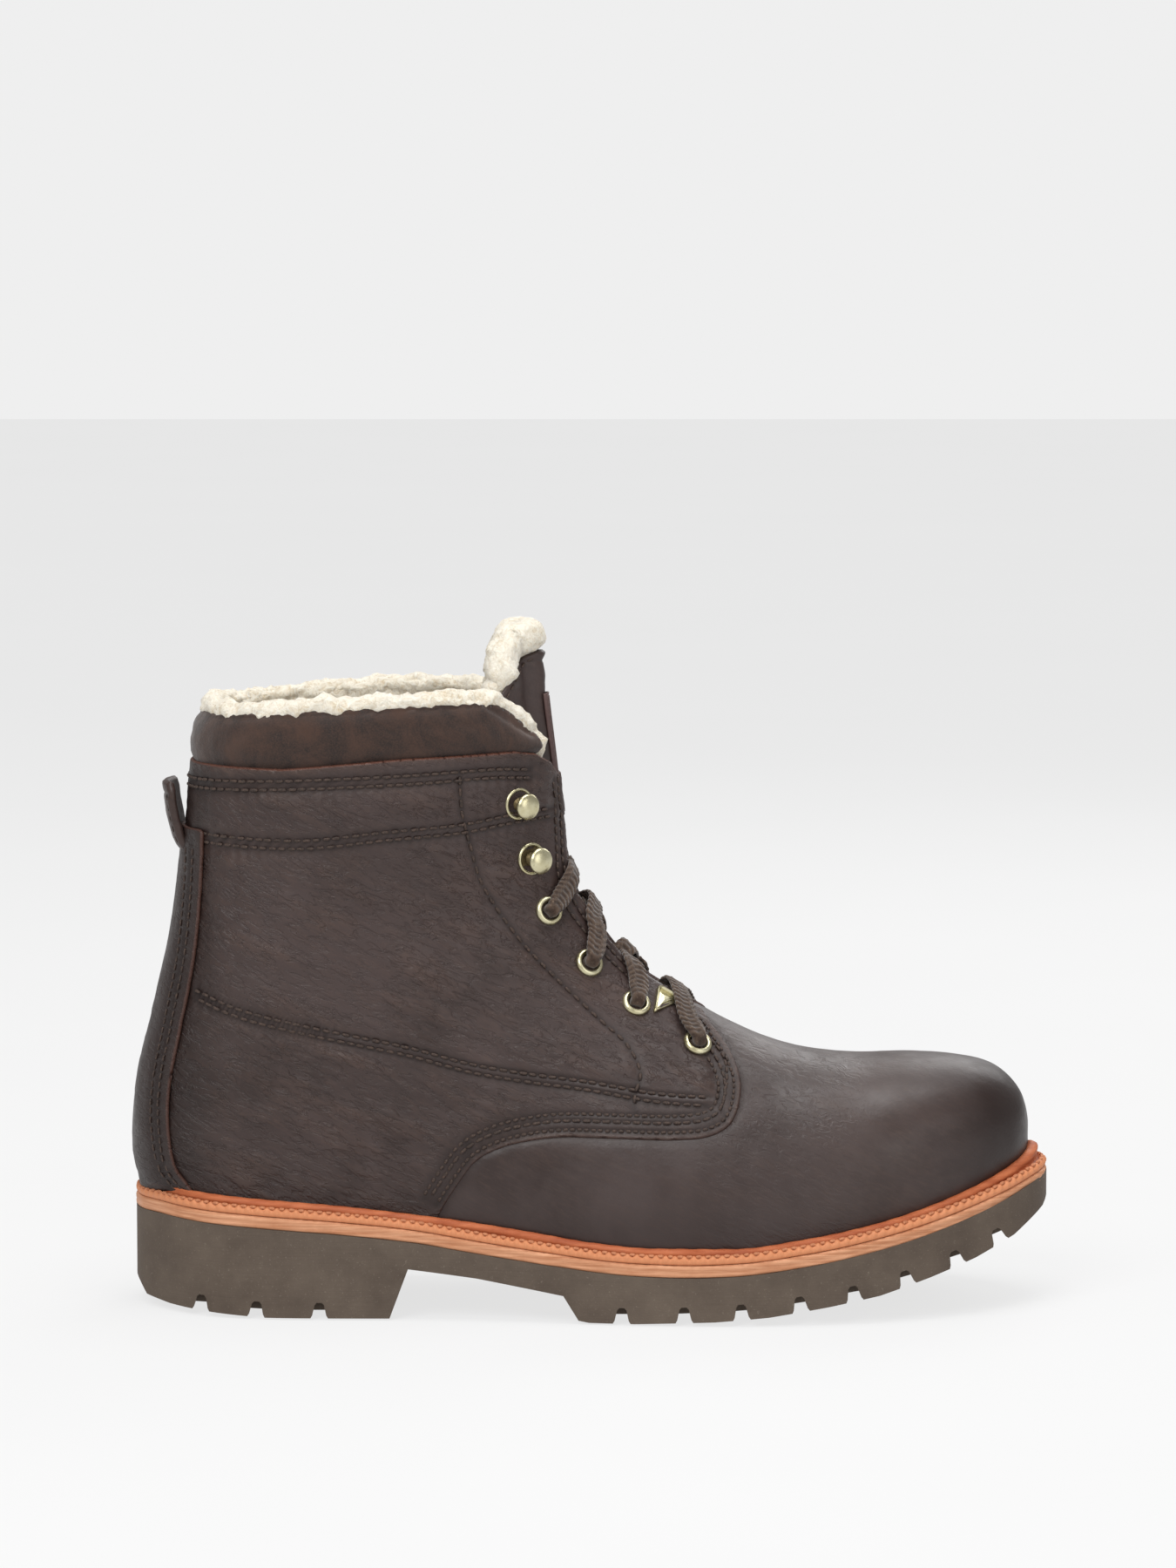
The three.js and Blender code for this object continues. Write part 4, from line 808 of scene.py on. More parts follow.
def side_lines(*names):
    return np.minimum.reduce([line_dist(LINES[s][n]) for s in (-1, 1) for n in names])


D_SEAM = side_lines("mid", "mid2", "bandL", "bandL2", "bandU", "bandU2")
D_FINE = np.minimum(side_lines("facst", "fvert", "e1", "e2"), side_lines("q1", "q2", "q3"))
D_MID = side_lines("mid"); D_BL = side_lines("bandL"); D_BU = side_lines("bandU")


def above(line):
    q = resample(line, 2.0)
    o = np.argsort(q[:, 0])
    return GZ - np.interp(GX, q[o, 0], q[o, 2])


A_MID = above(midl); A_BL = above(bandL); A_BU = above(bandU)
wrk = np.zeros_like(GX) + 1.0
wrk *= 0.55 + 0.45 * sm((roll + 0.35) / 0.7)
H = 0.40 * roll + 0.34 * fine * wrk + 0.30 * soft
H = H * (0.12 + 0.88 * sm((D_SEAM - 1.2) / 5.0)) * (0.15 + 0.85 * sm((D_FINE - 1.0) / 3.0))
# lapped seams: the piece above lies over the one below
H += 0.55 * sm((A_MID + 3.6) / 0.9) * sm((GX + 128) / 4) * np.where(GX < 38, 1, 0)
H += 0.50 * sm((A_BL + 3.8) / 0.9)
H -= 0.60 * np.exp(-(D_SEAM / 0.95) ** 2) + 0.36 * np.exp(-(D_FINE / 0.8) ** 2)
pk = np.sin(GX * 1.9) * np.exp(-((D_SEAM - 2.6) / 1.9) ** 2)
H += 0.16 * pk
# the rolled front edge of the facing
H += 0.25 * np.exp(-((THR - 1.2) / 1.1) ** 2)
H_Q = H - 0.15

EDGE_IN = np.clip(-sQ, 0, 99)
burn = sm((GX - 112) / 26) * 0.9
wear = np.clip(0.30 * sm((roll - 0.15) / 0.4) + 0.25 * sm((fine - 0.1) / 0.35), 0, 1)
F_WEAR = np.clip(wear + 0.55 * np.exp(-(np.abs(sQ) / 1.1) ** 2), 0, 1)
heel_burn = sm((-118 - GX) / 18) * 0.7 + 0.45 * np.exp(-(np.clip(EDGE_IN, 0, 60) / 4.0) ** 2) * 0
F_BURN = np.clip(burn + heel_burn + 0.85 * np.exp(-(np.minimum(D_SEAM, D_FINE) / 1.15) ** 2) + 0.55 * sm((48 - GZ) / 12) * np.where(GX < 60, 0.6, 0.25), 0, 1)
F_WRK = np.clip(wrk, 0, 1) * sm((D_SEAM - 1) / 4) * sm((D_FINE - 1) / 2.5)

RAW = 1.0 * sm((GZ - 174) / 5) + 0.12
for side, nm in ((-1, "quarter_lateral"), (1, "quarter_medial")):
    only = np.where(SIDE == side, -50.0, 50.0)
    half = np.where((COLS < MID) if side < 0 else (COLS >= MID), -50.0, 50.0)
    f = np.maximum.reduce([sQ, -THR, half])
    f = np.where(UU < 8.4, np.maximum(sQ, half), f)
    out = H_Q
    shell(nm + "_skin", f, out, np.full_like(GX, -2.1), MAT["upper"], 0.75, ROOT, dict(wear=F_WEAR, burn=F_BURN, wrinkle=F_WRK), (nm,), raw=RAW)

# vamp: under the quarters at the back
V = [(-80, 0), (-72, 50), (-56, 60), (-30, 69), (20, 70), (35, 80), (27, 98), (24, 112), (60, 112), (175, 112), (175, 0)]
sV = poly_sdf(GX, GZ, V)
fv = np.maximum.reduce([sV, -7.0 - sQ, np.where((UU > 8.7), half_gap(UU) - np.abs(GY), -9.0)])
fv = np.where((UU > 8.7) & (sQ > 0.3), fv, np.maximum(sV, -7.0 - sQ))
under = sm((1.6 - sQ) / 3.2)
crease = fbm(G * np.array([2.0, 0.45, 1.0]), 0.05, 3, 21.0) * sm((GX - 40) / 14) * sm((92 - GX) / 16)
HV = 0.10 * roll * 0.8 + 0.22 * soft + 0.10 * crease + 0.05 * fine
HV -= 2.05 * under
HV -= 0.25 * np.exp(-((sQ - 1.2) / 1.6) ** 2)
# painted shadow: on the vamp the burn mask also darkens a strip just outside the quarters' edge, as if shaded by the
# lapped edge; the rest of it is toe burnish and darker towards the bottom
shell("vamp_skin", fv, HV, HV - 1.9, MAT["vamp"], 0.6, ROOT, dict(wear=wear * 0.5 + 0.25 * sm((GX - 60) / 30) * sm((116 - GX) / 14), burn=np.clip(burn + 0.6 * np.exp(-(np.clip(sQ, 0, 50) / 2.2) ** 2) + 0.35 * sm((40 - GZ) / 12), 0, 1), wrinkle=0.5 * sm((GX - 30) / 14) * sm((95 - GX) / 16)), ("vamp",))

# back strip over the heel seam
BS = resample([(-129.6, 36.0), (-133.2, 41.5), (-137.4, 47.3), (-139.6, 59.3), (-139.4, 73.2), (-135.2, 95), (-131, 116.4), (-128.8, 137), (-127.8, 158.5)], 1.5)
sBS = poly_sdf(GX, GZ, [tuple(p) for p in BS] + [(-175, 158.5), (-175, 36.0)])
bulge = 1.7 + 0.35 * np.exp(-(np.abs(GY) / 5.0) ** 2) + 0.14 * fine
dB = -sBS
bulge = bulge - 0.35 * np.exp(-((dB - 2.6) / 0.8) ** 2) - 0.30 * np.exp(-((dB - 5.0) / 0.8) ** 2)
shell("backstay_strip", sBS, bulge, np.full_like(GX, 0.05), MAT["upper"], 0.7, ROOT, dict(wear=F_WEAR * 0.6, burn=np.clip(0.55 + 0.4 * np.exp(-((dB - 3.5) / 2.2) ** 2), 0, 1), wrinkle=0.4 * np.ones_like(GX)), ("backstay",), weld_back=True, raw=0.45)

# suede collar: padded, pulled in at both edges
cz = np.interp(GX, [-175, -127, -93, -66, -35, -20], [180.8, 180.8, 181.2, 183.4, 184.6, 184.0])
ct = np.interp(GX, [-175, -127, -93, -66, -35, -20], [196.0, 196.1, 198.2, 199.6, 200.6, 190.0])
tv = np.clip((GZ - cz) / np.maximum(ct - cz, 1), 0, 1)
puff = np.sin(math.pi * np.clip(tv, 0, 1)) ** 0.6
folds = fbm(G * np.array([1.0, 1.0, 0.35]), 0.055, 3, 31.0)
HC = -1.5 + 2.6 * puff + 0.45 * folds * puff + 0.22 * fine
HC += 0.5 * sm((tv - 0.6) / 0.3)
fc_ = np.maximum(sCol, -THR)
col = shell("collar_suede", fc_, HC, np.full_like(GX, -4.2), MAT["suede"], 2.2, ROOT, None, ("collar_pad",), weld_back=True, rows=4)

# ------------------------------------------------------------------ sole unit
def st(t):
    t = max(0.0, min(1.0, t))
    return t * t * (3 - 2 * t)


def feather_outline(n):
    """closed outline of the feather line, anticlockwise from the heel, evenly spaced"""
    xs = np.r_[-149.6 + 4.0 * (np.linspace(0, 1, 14) ** 2), np.linspace(-145, 141, 160), 145.5 - 4.0 * (np.linspace(1, 0, 14) ** 2)]
    xs = np.unique(xs)
    lat = np.stack([xs, -np.abs(fe(xs, 1))], 1); med = np.stack([xs, np.abs(fe(xs, 2))], 1)
    loop = np.vstack([lat, med[::-1][1:-1]])
    P = np.vstack([loop, loop[:1]])
    s = np.r_[0, np.cumsum(np.linalg.norm(np.diff(P, axis=0), axis=1))]
    t = np.linspace(0, s[-1], n, endpoint=False)
    q = np.stack([np.interp(t, s, P[:, 0]), np.interp(t, s, P[:, 1])], 1)
    k = max(2, n // 90)
    for _ in range(k):
        q = 0.5 * q + 0.25 * (np.roll(q, 1, 0) + np.roll(q, -1, 0))
    return q


def outline_normals(q):
    t = np.roll(q, -3, 0) - np.roll(q, 3, 0)
    n = np.stack([t[:, 1], -t[:, 0]], 1)
    return n / np.linalg.norm(n, axis=1, keepdims=True)


def reach(x, d):
    if d <= 2.5:
        return d
    return d * (1 - 0.46 * st((-118 - x) / 30) + 0.14 * st((x - 122) / 22))


def moved(q, n, d):
    return q + n * np.array([reach(x, d) for x in q[:, 0]])[:, None]


def ru(x):
    return pchip(RU[:, 0], RU[:, 1], x)


NS_ = 1560
FO = feather_outline(NS_)
FN = outline_normals(FO)
FZ = fe(np.clip(FO[:, 0], -149.6, 145.5), 3)
RZ = ru(FO[:, 0])
HH = FZ - RZ
ARC = np.r_[0, np.cumsum(np.linalg.norm(np.diff(FO, axis=0), axis=1))]


def sweep_ring(name, prof, mat, replaces, attrs=None, extra=None):
    """prof(k) gives the closed section at outline point k as [(d, z)]"""
    V = []; m = None
    for k in range(NS_):
        pr = prof(k); m = len(pr)
        for d, z in pr:
            r = reach(FO[k, 0], d)
            V.append((FO[k, 0] + FN[k, 0] * r, FO[k, 1] + FN[k, 1] * r, z))
    F = []
    for k in range(NS_):
        a = k * m; b = ((k + 1) % NS_) * m
        for t in range(m):
            u = (t + 1) % m
            F.append([a + t, b + t, b + u, a + u])
    return new_object(name, V, F, mat, ROOT, attrs, replaces=replaces)


def wob(k, sc, amp, seed=0.0):
    return amp * noise.noise(Vector((FO[k, 0] * sc, FO[k, 1] * sc, seed)))


def welt_prof(k):
    H_ = HH[k]; z0 = RZ[k]
    ph = math.cos(2 * math.pi * ARC[k] / 3.05)
    sc = 0.46 * ph
    tuck = 0.5 + 0.5 * ph
    w = wob(k, 0.12, 0.25, 4.0)
    bc = H_ - 1.9; R = 1.75
    pts = [(-1.9, z0 + 4.2), (4.6, z0 + 4.15), (5.15 + w * .5, z0 + 4.35), (5.45 + sc * .4 + w, z0 + 5.0), (5.45 + sc * .6 + w, z0 + 5.8), (5.0 + sc * .5 + w, z0 + 6.55 + sc * .7), (4.3, z0 + 6.85 + sc * .9), (3.75, z0 + 6.65 + sc * .6),
           (3.45, z0 + 6.2), (3.15, z0 + 5.95)]
    for a in (-35, -12, 10, 32, 55, 78, 100, 125, 150):
        t = math.radians(a)
        rr = R * (1 + 0.03 * math.sin(ARC[k] * 0.9))
        pts.append((1.45 + rr * math.cos(t) + w * .3, z0 + bc + rr * math.sin(t)))
    pts += [(-0.9, z0 + H_ - 1.2), (-1.7, z0 + H_ - 2.4)]
    return pts


RIDGE = ([0, 0.3, 0.7, 0.8, 0.8, 0.75, 0.6, 0.3, 0, 0] + [0] * 11) * NS_
sweep_ring("storm_welt_leather", welt_prof, MAT["welt"], ("storm_welt",), dict(ridge=RIDGE))


def midsole_prof(k):
    z0 = RZ[k]
    w = wob(k, 0.10, 0.30, 9.0); w2 = wob(k, 0.35, 0.12, 2.0)
    return [(-14.0, z0 + 0.02), (5.1 + w, z0 + 0.02), (5.5 + w + w2, z0 + 0.35), (5.62 + w + w2, z0 + 1.2), (5.38 + w - w2, z0 + 1.75), (5.62 + w, z0 + 2.2), (5.70 + w + w2, z0 + 3.1), (5.45 + w, z0 + 3.7), (5.0 + w, z0 + 4.05), (-14.0, z0 + 4.05)]


V = []; 
def midsole():
    """outer ring, with flat leather inside"""
    V = []; F = []; m = 10
    for k in range(NS_):
        for d, z in midsole_prof(k):
            r = reach(FO[k, 0], d) if d > 0 else d
            V.append((FO[k, 0] + FN[k, 0] * r, FO[k, 1] + FN[k, 1] * r, z))
    for k in range(NS_):
        a = k * m; b = ((k + 1) % NS_) * m
        for t in range(m - 1):
            F.append([a + t, b + t, b + t + 1, a + t + 1])
    # close the middle across the width, pairing points of equal length along each side
    half = NS_ // 2
    for lvl in (0, 9):
        for k in range(1, half):
            i, j = k, NS_ - k
            i2, j2 = k + 1, NS_ - k - 1
            if i2 > j2:
                break
            a, b, c, d = i * m + lvl, i2 * m + lvl, j2 * m + lvl, j * m + lvl
            q = [a, b, c, d] if i2 != j2 else [a, b, d]
            F.append(q if lvl == 0 else q[::-1])
        F.append([0 * m + lvl, 1 * m + lvl, (NS_ - 1) * m + lvl] if lvl == 0 else [(NS_ - 1) * m + lvl, 1 * m + lvl, 0 * m + lvl])
    o = new_object("midsole_leather", V, F, MAT["midsole"], ROOT, replaces=("midsole",))
    bm = bmesh.new(); bm.from_mesh(o.data)
    bmesh.ops.recalc_face_normals(bm, faces=bm.faces[:])
    bm.to_mesh(o.data); bm.free()
    return o


midsole()

# welt stitches: short bright threads across the ridge
def capsule_set(name, segs, radius, mat, body=ROOT, flat=0.75, ring=7):
    """one mesh of many short stitches: segs is a list of (p0, p1, normal)"""
    V = []; F = []
    prof = [(-0.5, 0.30), (-0.42, 0.80), (-0.20, 1.0), (0.20, 1.0), (0.42, 0.80), (0.5, 0.30)]
    for p0, p1, n in segs:
        p0 = np.asarray(p0); p1 = np.asarray(p1); t = p1 - p0; L = np.linalg.norm(t)
        if L < 1e-6:
            continue
        t = t / L; n = n - t * (n @ t); n /= max(np.linalg.norm(n), 1e-9); b = np.cross(t, n)
        c = (p0 + p1) / 2; b0 = len(V)
        for s_, r_ in prof:
            bend = -0.25 * radius * (2 * s_) ** 2
            for q in range(ring):
                a = 2 * math.pi * q / ring
                V.append(c + t * (s_ * L) + b * (math.cos(a) * radius * r_) + n * (math.sin(a) * radius * r_ * flat + bend))
        for k in range(len(prof) - 1):
            for q in range(ring):
                q2 = (q + 1) % ring
                F.append([b0 + k * ring + q, b0 + k * ring + q2, b0 + (k + 1) * ring + q2, b0 + (k + 1) * ring + q])
        F.append([b0 + q for q in range(ring)][::-1])
        F.append([b0 + (len(prof) - 1) * ring + q for q in range(ring)])
    return new_object(name, V, F, mat, body)


segs = []
per = ARC[-1] + np.linalg.norm(FO[0] - FO[-1])
nst = int(per / 3.05)
for s_ in range(nst):
    a = (s_ + 0.12) * per / nst; b = (s_ + 0.80) * per / nst
    P = []
    for v in (a, b):
        k = int(np.argmin(abs(ARC - (v % per))))
        r = reach(FO[k, 0], 4.45)
        P.append(np.array([FO[k, 0] + FN[k, 0] * r, FO[k, 1] + FN[k, 1] * r, RZ[k] + 7.0]))
    k = int(np.argmin(abs(ARC - (a % per))))
    segs.append((P[0], P[1], np.array([FN[k, 0] * .4, FN[k, 1] * .4, 0.9])))
capsule_set("welt_stitching", segs, 0.62, MAT["thread_welt"])

# ------------------------------------------------------------------ rubber outsole
LUG = [(-150.6, 6.2), (-148.2, 3), (-140, 1.9), (-128, 1.2), (-108, 0), (-66.6, 0), (-60.5, 16.4), (-38, 13.6), (-22, 10.8), (-9.5, 8.6), (-4.5, 0.6), (-1, 0), (14, 0), (40, 0.9), (57.8, 2.4), (77.7, 5.5), (94.3, 8.5), (110.8, 13.4), (126.5, 18.6), (139.8, 24.5), (150.2, 32), (153.2, 36.5)]


def prism(name, ring, axis, lo, hi):
    """closed prism: ring of 2-D points, along Z or Y"""
    n = len(ring)
    if axis == "Z":
        V = [(p[0], p[1], lo) for p in ring] + [(p[0], p[1], hi) for p in ring]
    else:
        V = [(p[0], lo, p[1]) for p in ring] + [(p[0], hi, p[1]) for p in ring]
    F = [list(range(n)), list(range(n, 2 * n))[::-1]] + [[k, (k + 1) % n, n + (k + 1) % n, n + k] for k in range(n)]
    bm = bmesh.new()
    vs = [bm.verts.new(np.array(v) * MM) for v in V]
    for f in F:
        bm.faces.new([vs[k] for k in f])
    bmesh.ops.triangulate(bm, faces=[f for f in bm.faces if len(f.verts) > 4])
    bmesh.ops.recalc_face_normals(bm, faces=bm.faces[:])
    me = bpy.data.meshes.new(name); bm.to_mesh(me); bm.free()
    o = bpy.data.objects.new(name, me)
    scene.collection.objects.link(o)
    return o


def boolean(a, b, op):
    m = a.modifiers.new("b", "BOOLEAN")
    m.operation = op; m.object = b; m.solver = "MANIFOLD"
    dg = bpy.context.evaluated_depsgraph_get()
    me = bpy.data.meshes.new_from_object(a.evaluated_get(dg))
    a.modifiers.clear()
    old = a.data; a.data = me; bpy.data.meshes.remove(old)
    mb = b.data
    bpy.data.objects.remove(b); bpy.data.meshes.remove(mb)


def make_outsole():
    n = 220
    q = feather_outline(n); nn_ = outline_normals(q)
    body = prism("outsole_rubber", moved(q, nn_, 5.95), "Z", -10, 90)
    xs = np.linspace(-158, 160, 90)
    side = [(x, float(ru(x)) - 0.02) for x in xs][::-1]
    low = []
    for a, b in zip(LUG[:-1], LUG[1:]):
        low.append(a)
    low = [(-158, 14), (-153, 9)] + LUG + [(157, 42), (160, 44)]
    low = [(x, min(z, float(ru(x)) - 1.2)) for x, z in low]
    prof = prism("side", low + side, "Y", -90, 90)
    boolean(body, prof, "INTERSECT")
    # recessed middle, with studs left standing
    for xa, xb, inset in ((12, 120, 21), (-131, -72, 20)):
        ring = moved(q, nn_, 5.6)
        cx = np.clip(ring[:, 0], xa, xb)
        inner = q + nn_ * (5.6 - inset)
        inner = inner[(inner[:, 0] > xa) & (inner[:, 0] < xb)]
        lat = inner[inner[:, 1] < 0]; med = inner[inner[:, 1] >= 0]
        lat = lat[np.argsort(lat[:, 0])]; med = med[np.argsort(-med[:, 0])]
        loop = np.vstack([lat[::3], med[::3]])
        cut = prism("recess", [tuple(p) for p in loop], "Z", -10, 90)
        top = prism("rtop", [(x, float(np.interp(x, [p[0] for p in LUG], [p[1] for p in LUG])) + 4.0) for x in np.linspace(-150, 152, 60)] + [(152, -20), (-150, -20)], "Y", -80, 80)
        boolean(cut, top, "INTERSECT")
        for x, y, a, b in ((24, -3, 9, 9), (44, -2, 10, 12), (64, 1, 10, 13), (84, 3, 10, 12), (103, 4, 9, 9), (-118, 0, 8, 8), (-96, 0, 9, 9), (-79, 0, 8, 6)):
            if xa < x < xb:
                star = [(-a, 0), (-a * .35, -b * .35), (0, -b), (a * .35, -b * .35), (a, 0), (a * .35, b * .35), (0, b), (-a * .35, b * .35)]
                s_ = prism("stud", [(x + p * .8, y + r) for p, r in star], "Z", -20, 91)
                boolean(cut, s_, "DIFFERENCE")
        boolean(body, cut, "DIFFERENCE")
    # notches through the edge, from each side
    lx = [p[0] for p in LUG]; lz = [p[1] for p in LUG]
    for x in (-129.1, -110.6, -89.7, 9.6, 30.1, 48.9, 68.3, 86, 103.6, 120.4, 135.1):
        zb = float(np.interp(x, lx, lz)); zl = float(np.interp(x - 4, lx, lz)); zr = float(np.interp(x + 4, lx, lz))
        a = math.atan2(zr - zl, 8)
        c_, s2 = math.cos(a), math.sin(a)
        ring = [(x + p * c_ - r * s2, zb + p * s2 + r * c_) for p, r in [(-3.1, -2.5), (3.1, -2.5), (2.9, 0), (2.3, 1.0), (1.6, 4.4), (0.9, 5.2), (-0.8, 5.2), (-1.5, 4.4), (-2.3, 1.0), (-2.9, 0)]]
        run = 15 if x < -50 else 17
        ylat = float(fe(min(x, 145), 1)) if True else 0
        ymed = float(fe(min(x, 145), 2))
        for sgn, edge in ((-1, abs(ylat)), (1, abs(ymed))):
            y0, y1 = sgn * (edge + 5.6 - run), sgn * 70
            cut = prism("notch", ring, "Y", min(y0, y1), max(y0, y1))
            boolean(body, cut, "DIFFERENCE")
    bv = body.modifiers.new("bv", "BEVEL")
    bv.width = 0.00055; bv.segments = 2; bv.limit_method = "ANGLE"; bv.angle_limit = math.radians(38); bv.use_clamp_overlap = True
    dg = bpy.context.evaluated_depsgraph_get()
    me = bpy.data.meshes.new_from_object(body.evaluated_get(dg))
    body.modifiers.clear(); body.data = me
    bm = bmesh.new(); bm.from_mesh(me)
    bmesh.ops.remove_doubles(bm, verts=bm.verts[:], dist=0.00002)
    bmesh.ops.dissolve_degenerate(bm, edges=bm.edges[:], dist=0.00001)
    for f in bm.faces:
        f.smooth = True
    for e in bm.edges:
        if len(e.link_faces) == 2 and e.calc_face_angle(0) > math.radians(32):
            e.smooth = False
    bm.to_mesh(me); bm.free()
    me.materials.clear(); me.materials.append(MAT["rubber"])
    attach(body, ROOT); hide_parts("outsole")
    return body


make_outsole()

# ------------------------------------------------------------------ stitching of the upper
def stitch_row(line, pitch, length, h, r, side=None, phase=0.0, skip=None):
    q = resample(line, 0.6, smooth=False)
    s = np.r_[0, np.cumsum(np.linalg.norm(np.diff(q, axis=0), axis=1))]
    out = []
    n = int((s[-1] - phase) / pitch)
    for k in range(n):
        a = phase + k * pitch + RNG.uniform(-0.05, 0.05) * pitch; b = a + length
        if b > s[-1]:
            break
        pa = np.array([np.interp(a, s, q[:, c]) for c in range(3)]); pb = np.array([np.interp(b, s, q[:, c]) for c in range(3)])
        if skip is not None and skip((pa + pb) / 2):
            continue
        A, n1 = SURF.drop(pa, 0.0); B, n2 = SURF.drop(pb, 0.0)
        i, j = SURF.near(A)[2]
        hh = float(H_Q[i, j]) + h
        out.append((A + n1 * hh, B + n2 * hh, n1))
    return out


for sd, nm in ((-1, "lateral"), (1, "medial")):
    L = LINES[sd]
    S = []
    S += stitch_row(L["bandU"], 3.2, 2.7, 0.42, 0.48) + stitch_row(L["bandU2"], 3.2, 2.7, 0.42, 0.48, phase=1.2)
    S += stitch_row(L["bandL"], 3.2, 2.5, 0.38, 0.46) + stitch_row(L["bandL2"], 3.2, 2.5, 0.38, 0.46, phase=1.4)
    S += stitch_row(L["mid"], 3.3, 2.6, 0.38, 0.46) + stitch_row(L["mid2"], 3.3, 2.6, 0.38, 0.46, phase=1.4)
    S += stitch_row(L["facst"], 3.9, 2.7, 0.22, 0.34)
    S += stitch_row(L["fvert"], 3.2, 2.5, 0.25, 0.42)
    S += stitch_row(L["q1"], 2.3, 1.7, 0.22, 0.36)
    S += stitch_row(L["q2"], 3.3, 2.7, 0.30, 0.52)
    S += stitch_row(L["q3"], 2.5, 1.8, 0.20, 0.36)
    S += stitch_row(L["e1"], 3.0, 2.4, 0.25, 0.42) + stitch_row(L["e2"], 3.0, 2.4, 0.22, 0.38, phase=1.1)
    capsule_set("stitching_" + nm, S, 0.52, MAT["thread"])

# stitching of the back strip: two rows on each side of the heel seam
S = []
for sgn in (-1, 1):
    for d in (2.6, 5.0):
        pts = []
        for p in BS[3:-3]:
            nrm_x = p[0] - d
            P0 = SURF.lift(nrm_x, p[1], sgn)[0]
            pts.append(P0)
        for A, B, n in stitch_row(np.array(pts), 3.0, 2.3, 0.0, 0.4):
            i, j = SURF.near(A)[2]
            lift = float(bulge[i, j] - H_Q[i, j]) + 0.18
            S.append((A + n * lift, B + n * lift, n))
capsule_set("backstay_stitching", S, 0.38, MAT["thread"])


# ------------------------------------------------------------------ fleece
def lump_tube(name, pts, nrm, ra, rb, step_ring=22, seed=0.0, amp=1.1, mat=None, body=ROOT, replaces=(), taper=6):
    """a soft roll along pts: ra across the normal, rb along it"""
    pts = np.asarray(pts); n = len(pts)
    T = np.gradient(pts, axis=0); T /= np.linalg.norm(T, axis=1, keepdims=True)
    V = []; F = []
    for k in range(n):
        t = T[k]; nn_ = nrm[k] - t * (nrm[k] @ t); nn_ /= np.linalg.norm(nn_); b = np.cross(t, nn_)
        e = min(1.0, (k + 0.35) / taper, (n - 1 - k + 0.35) / taper) ** 0.5
        for q in range(step_ring):
            a = 2 * math.pi * q / step_ring
            ca, sa = math.cos(a), math.sin(a)
            p = pts[k] + (b * ca * ra + nn_ * sa * rb) * e
            d = (b * ca + nn_ * sa)
            w = amp * noise.fractal(Vector(p * 0.16) + Vector((seed, 0, 0)), 1.0, 2.1, 4) + 0.45 * amp * noise.noise(Vector(p * 0.65))
            V.append(p + d * w * e)
    m = step_ring
    for k in range(n - 1):
        for q in range(m):
            q2 = (q + 1) % m
            F.append([k * m + q, k * m + q2, (k + 1) * m + q2, (k + 1) * m + q])
    F.append(list(range(m))[::-1]); F.append([(n - 1) * m + q for q in range(m)])
    o = new_object(name, V, F, mat or MAT["fleece"], body, replaces=replaces)
    bm = bmesh.new(); bm.from_mesh(o.data)
    bmesh.ops.recalc_face_normals(bm, faces=bm.faces[:])
    bm.to_mesh(o.data); bm.free()
    return o


# rim: up the front edge on one side, round the top, down the other
rim = [(-14.6, 178.4), (-14.8, 183.6), (-16.4, 189.2), (-20.2, 194.8), (-25.4, 199.0), (-32.5, 201.8), (-47, 202.4), (-66, 201.6), (-93, 200.1), (-110, 198.9)]


def rim_line():
    out = []; nr = []
    L = resample(np.array(rim), 1.6)
    seq = []
    for x, z in L:
        P0, n = SURF.lift(x, z, -1)
        seq.append((P0, n))
    # round the back at even rows of the grid
    back = []
    P_end = seq[-1][0]
    i_end = SURF.near(P_end)[2]
    # walk the columns from the outer side's end to the inner side's end at the height of the rim
    zt = lambda x: float(np.interp(x, [-175, -116, -93], [199.4, 198.4, 200.1]))
    J = list(range(i_end[1], 0, -2)) + [0]
    for j in J:
        colz = G[:, j, 2]; colx = G[:, j, 0]
        i = int(np.argmin(np.abs(colz - np.array([zt(x) for x in colx])) + np.where(US < 15, 99, 0)))
        back.append((G[i, j], NN[i, j]))
    left = seq + back
    right = [(np.array([p[0], 0, p[2]]), n) for p, n in left]
    P = [p for p, _ in left]; N_ = [n for _, n in left]
    # the other side: same X and Z, lifted
    P2 = []; N2 = []
    for p, n in seq:
        q, m = SURF.lift(p[0], p[2], 1)
        P2.append(q); N2.append(m)
    for p, n in back[:-1]:
        j2 = None
        q, m, _ = SURF.near(np.array([p[0], -p[1] * 0.985, p[2]]))
        P2.append(q); N2.append(m)
    P = P + P2[::-1]; N_ = N_ + N2[::-1]
    P = np.array(P); N_ = np.array(N_)
    s = np.r_[0, np.cumsum(np.linalg.norm(np.diff(P, axis=0), axis=1))]
    keep = np.r_[True, np.diff(s) > 0.2]
    P, N_, s = P[keep], N_[keep], s[keep]
    t = np.arange(0, s[-1], 1.5)
    P = np.stack([np.interp(t, s, P[:, k]) for k in range(3)], 1)
    N_ = np.stack([np.interp(t, s, N_[:, k]) for k in range(3)], 1)
    for _ in range(4):
        P[1:-1] = 0.5 * P[1:-1] + 0.25 * (P[:-2] + P[2:])
    return P, N_


RP, RN_ = rim_line()
lump_tube("fleece_rim", RP - RN_ * 4.6, RN_, 3.4, 3.6, 24, 1.0, 1.5)

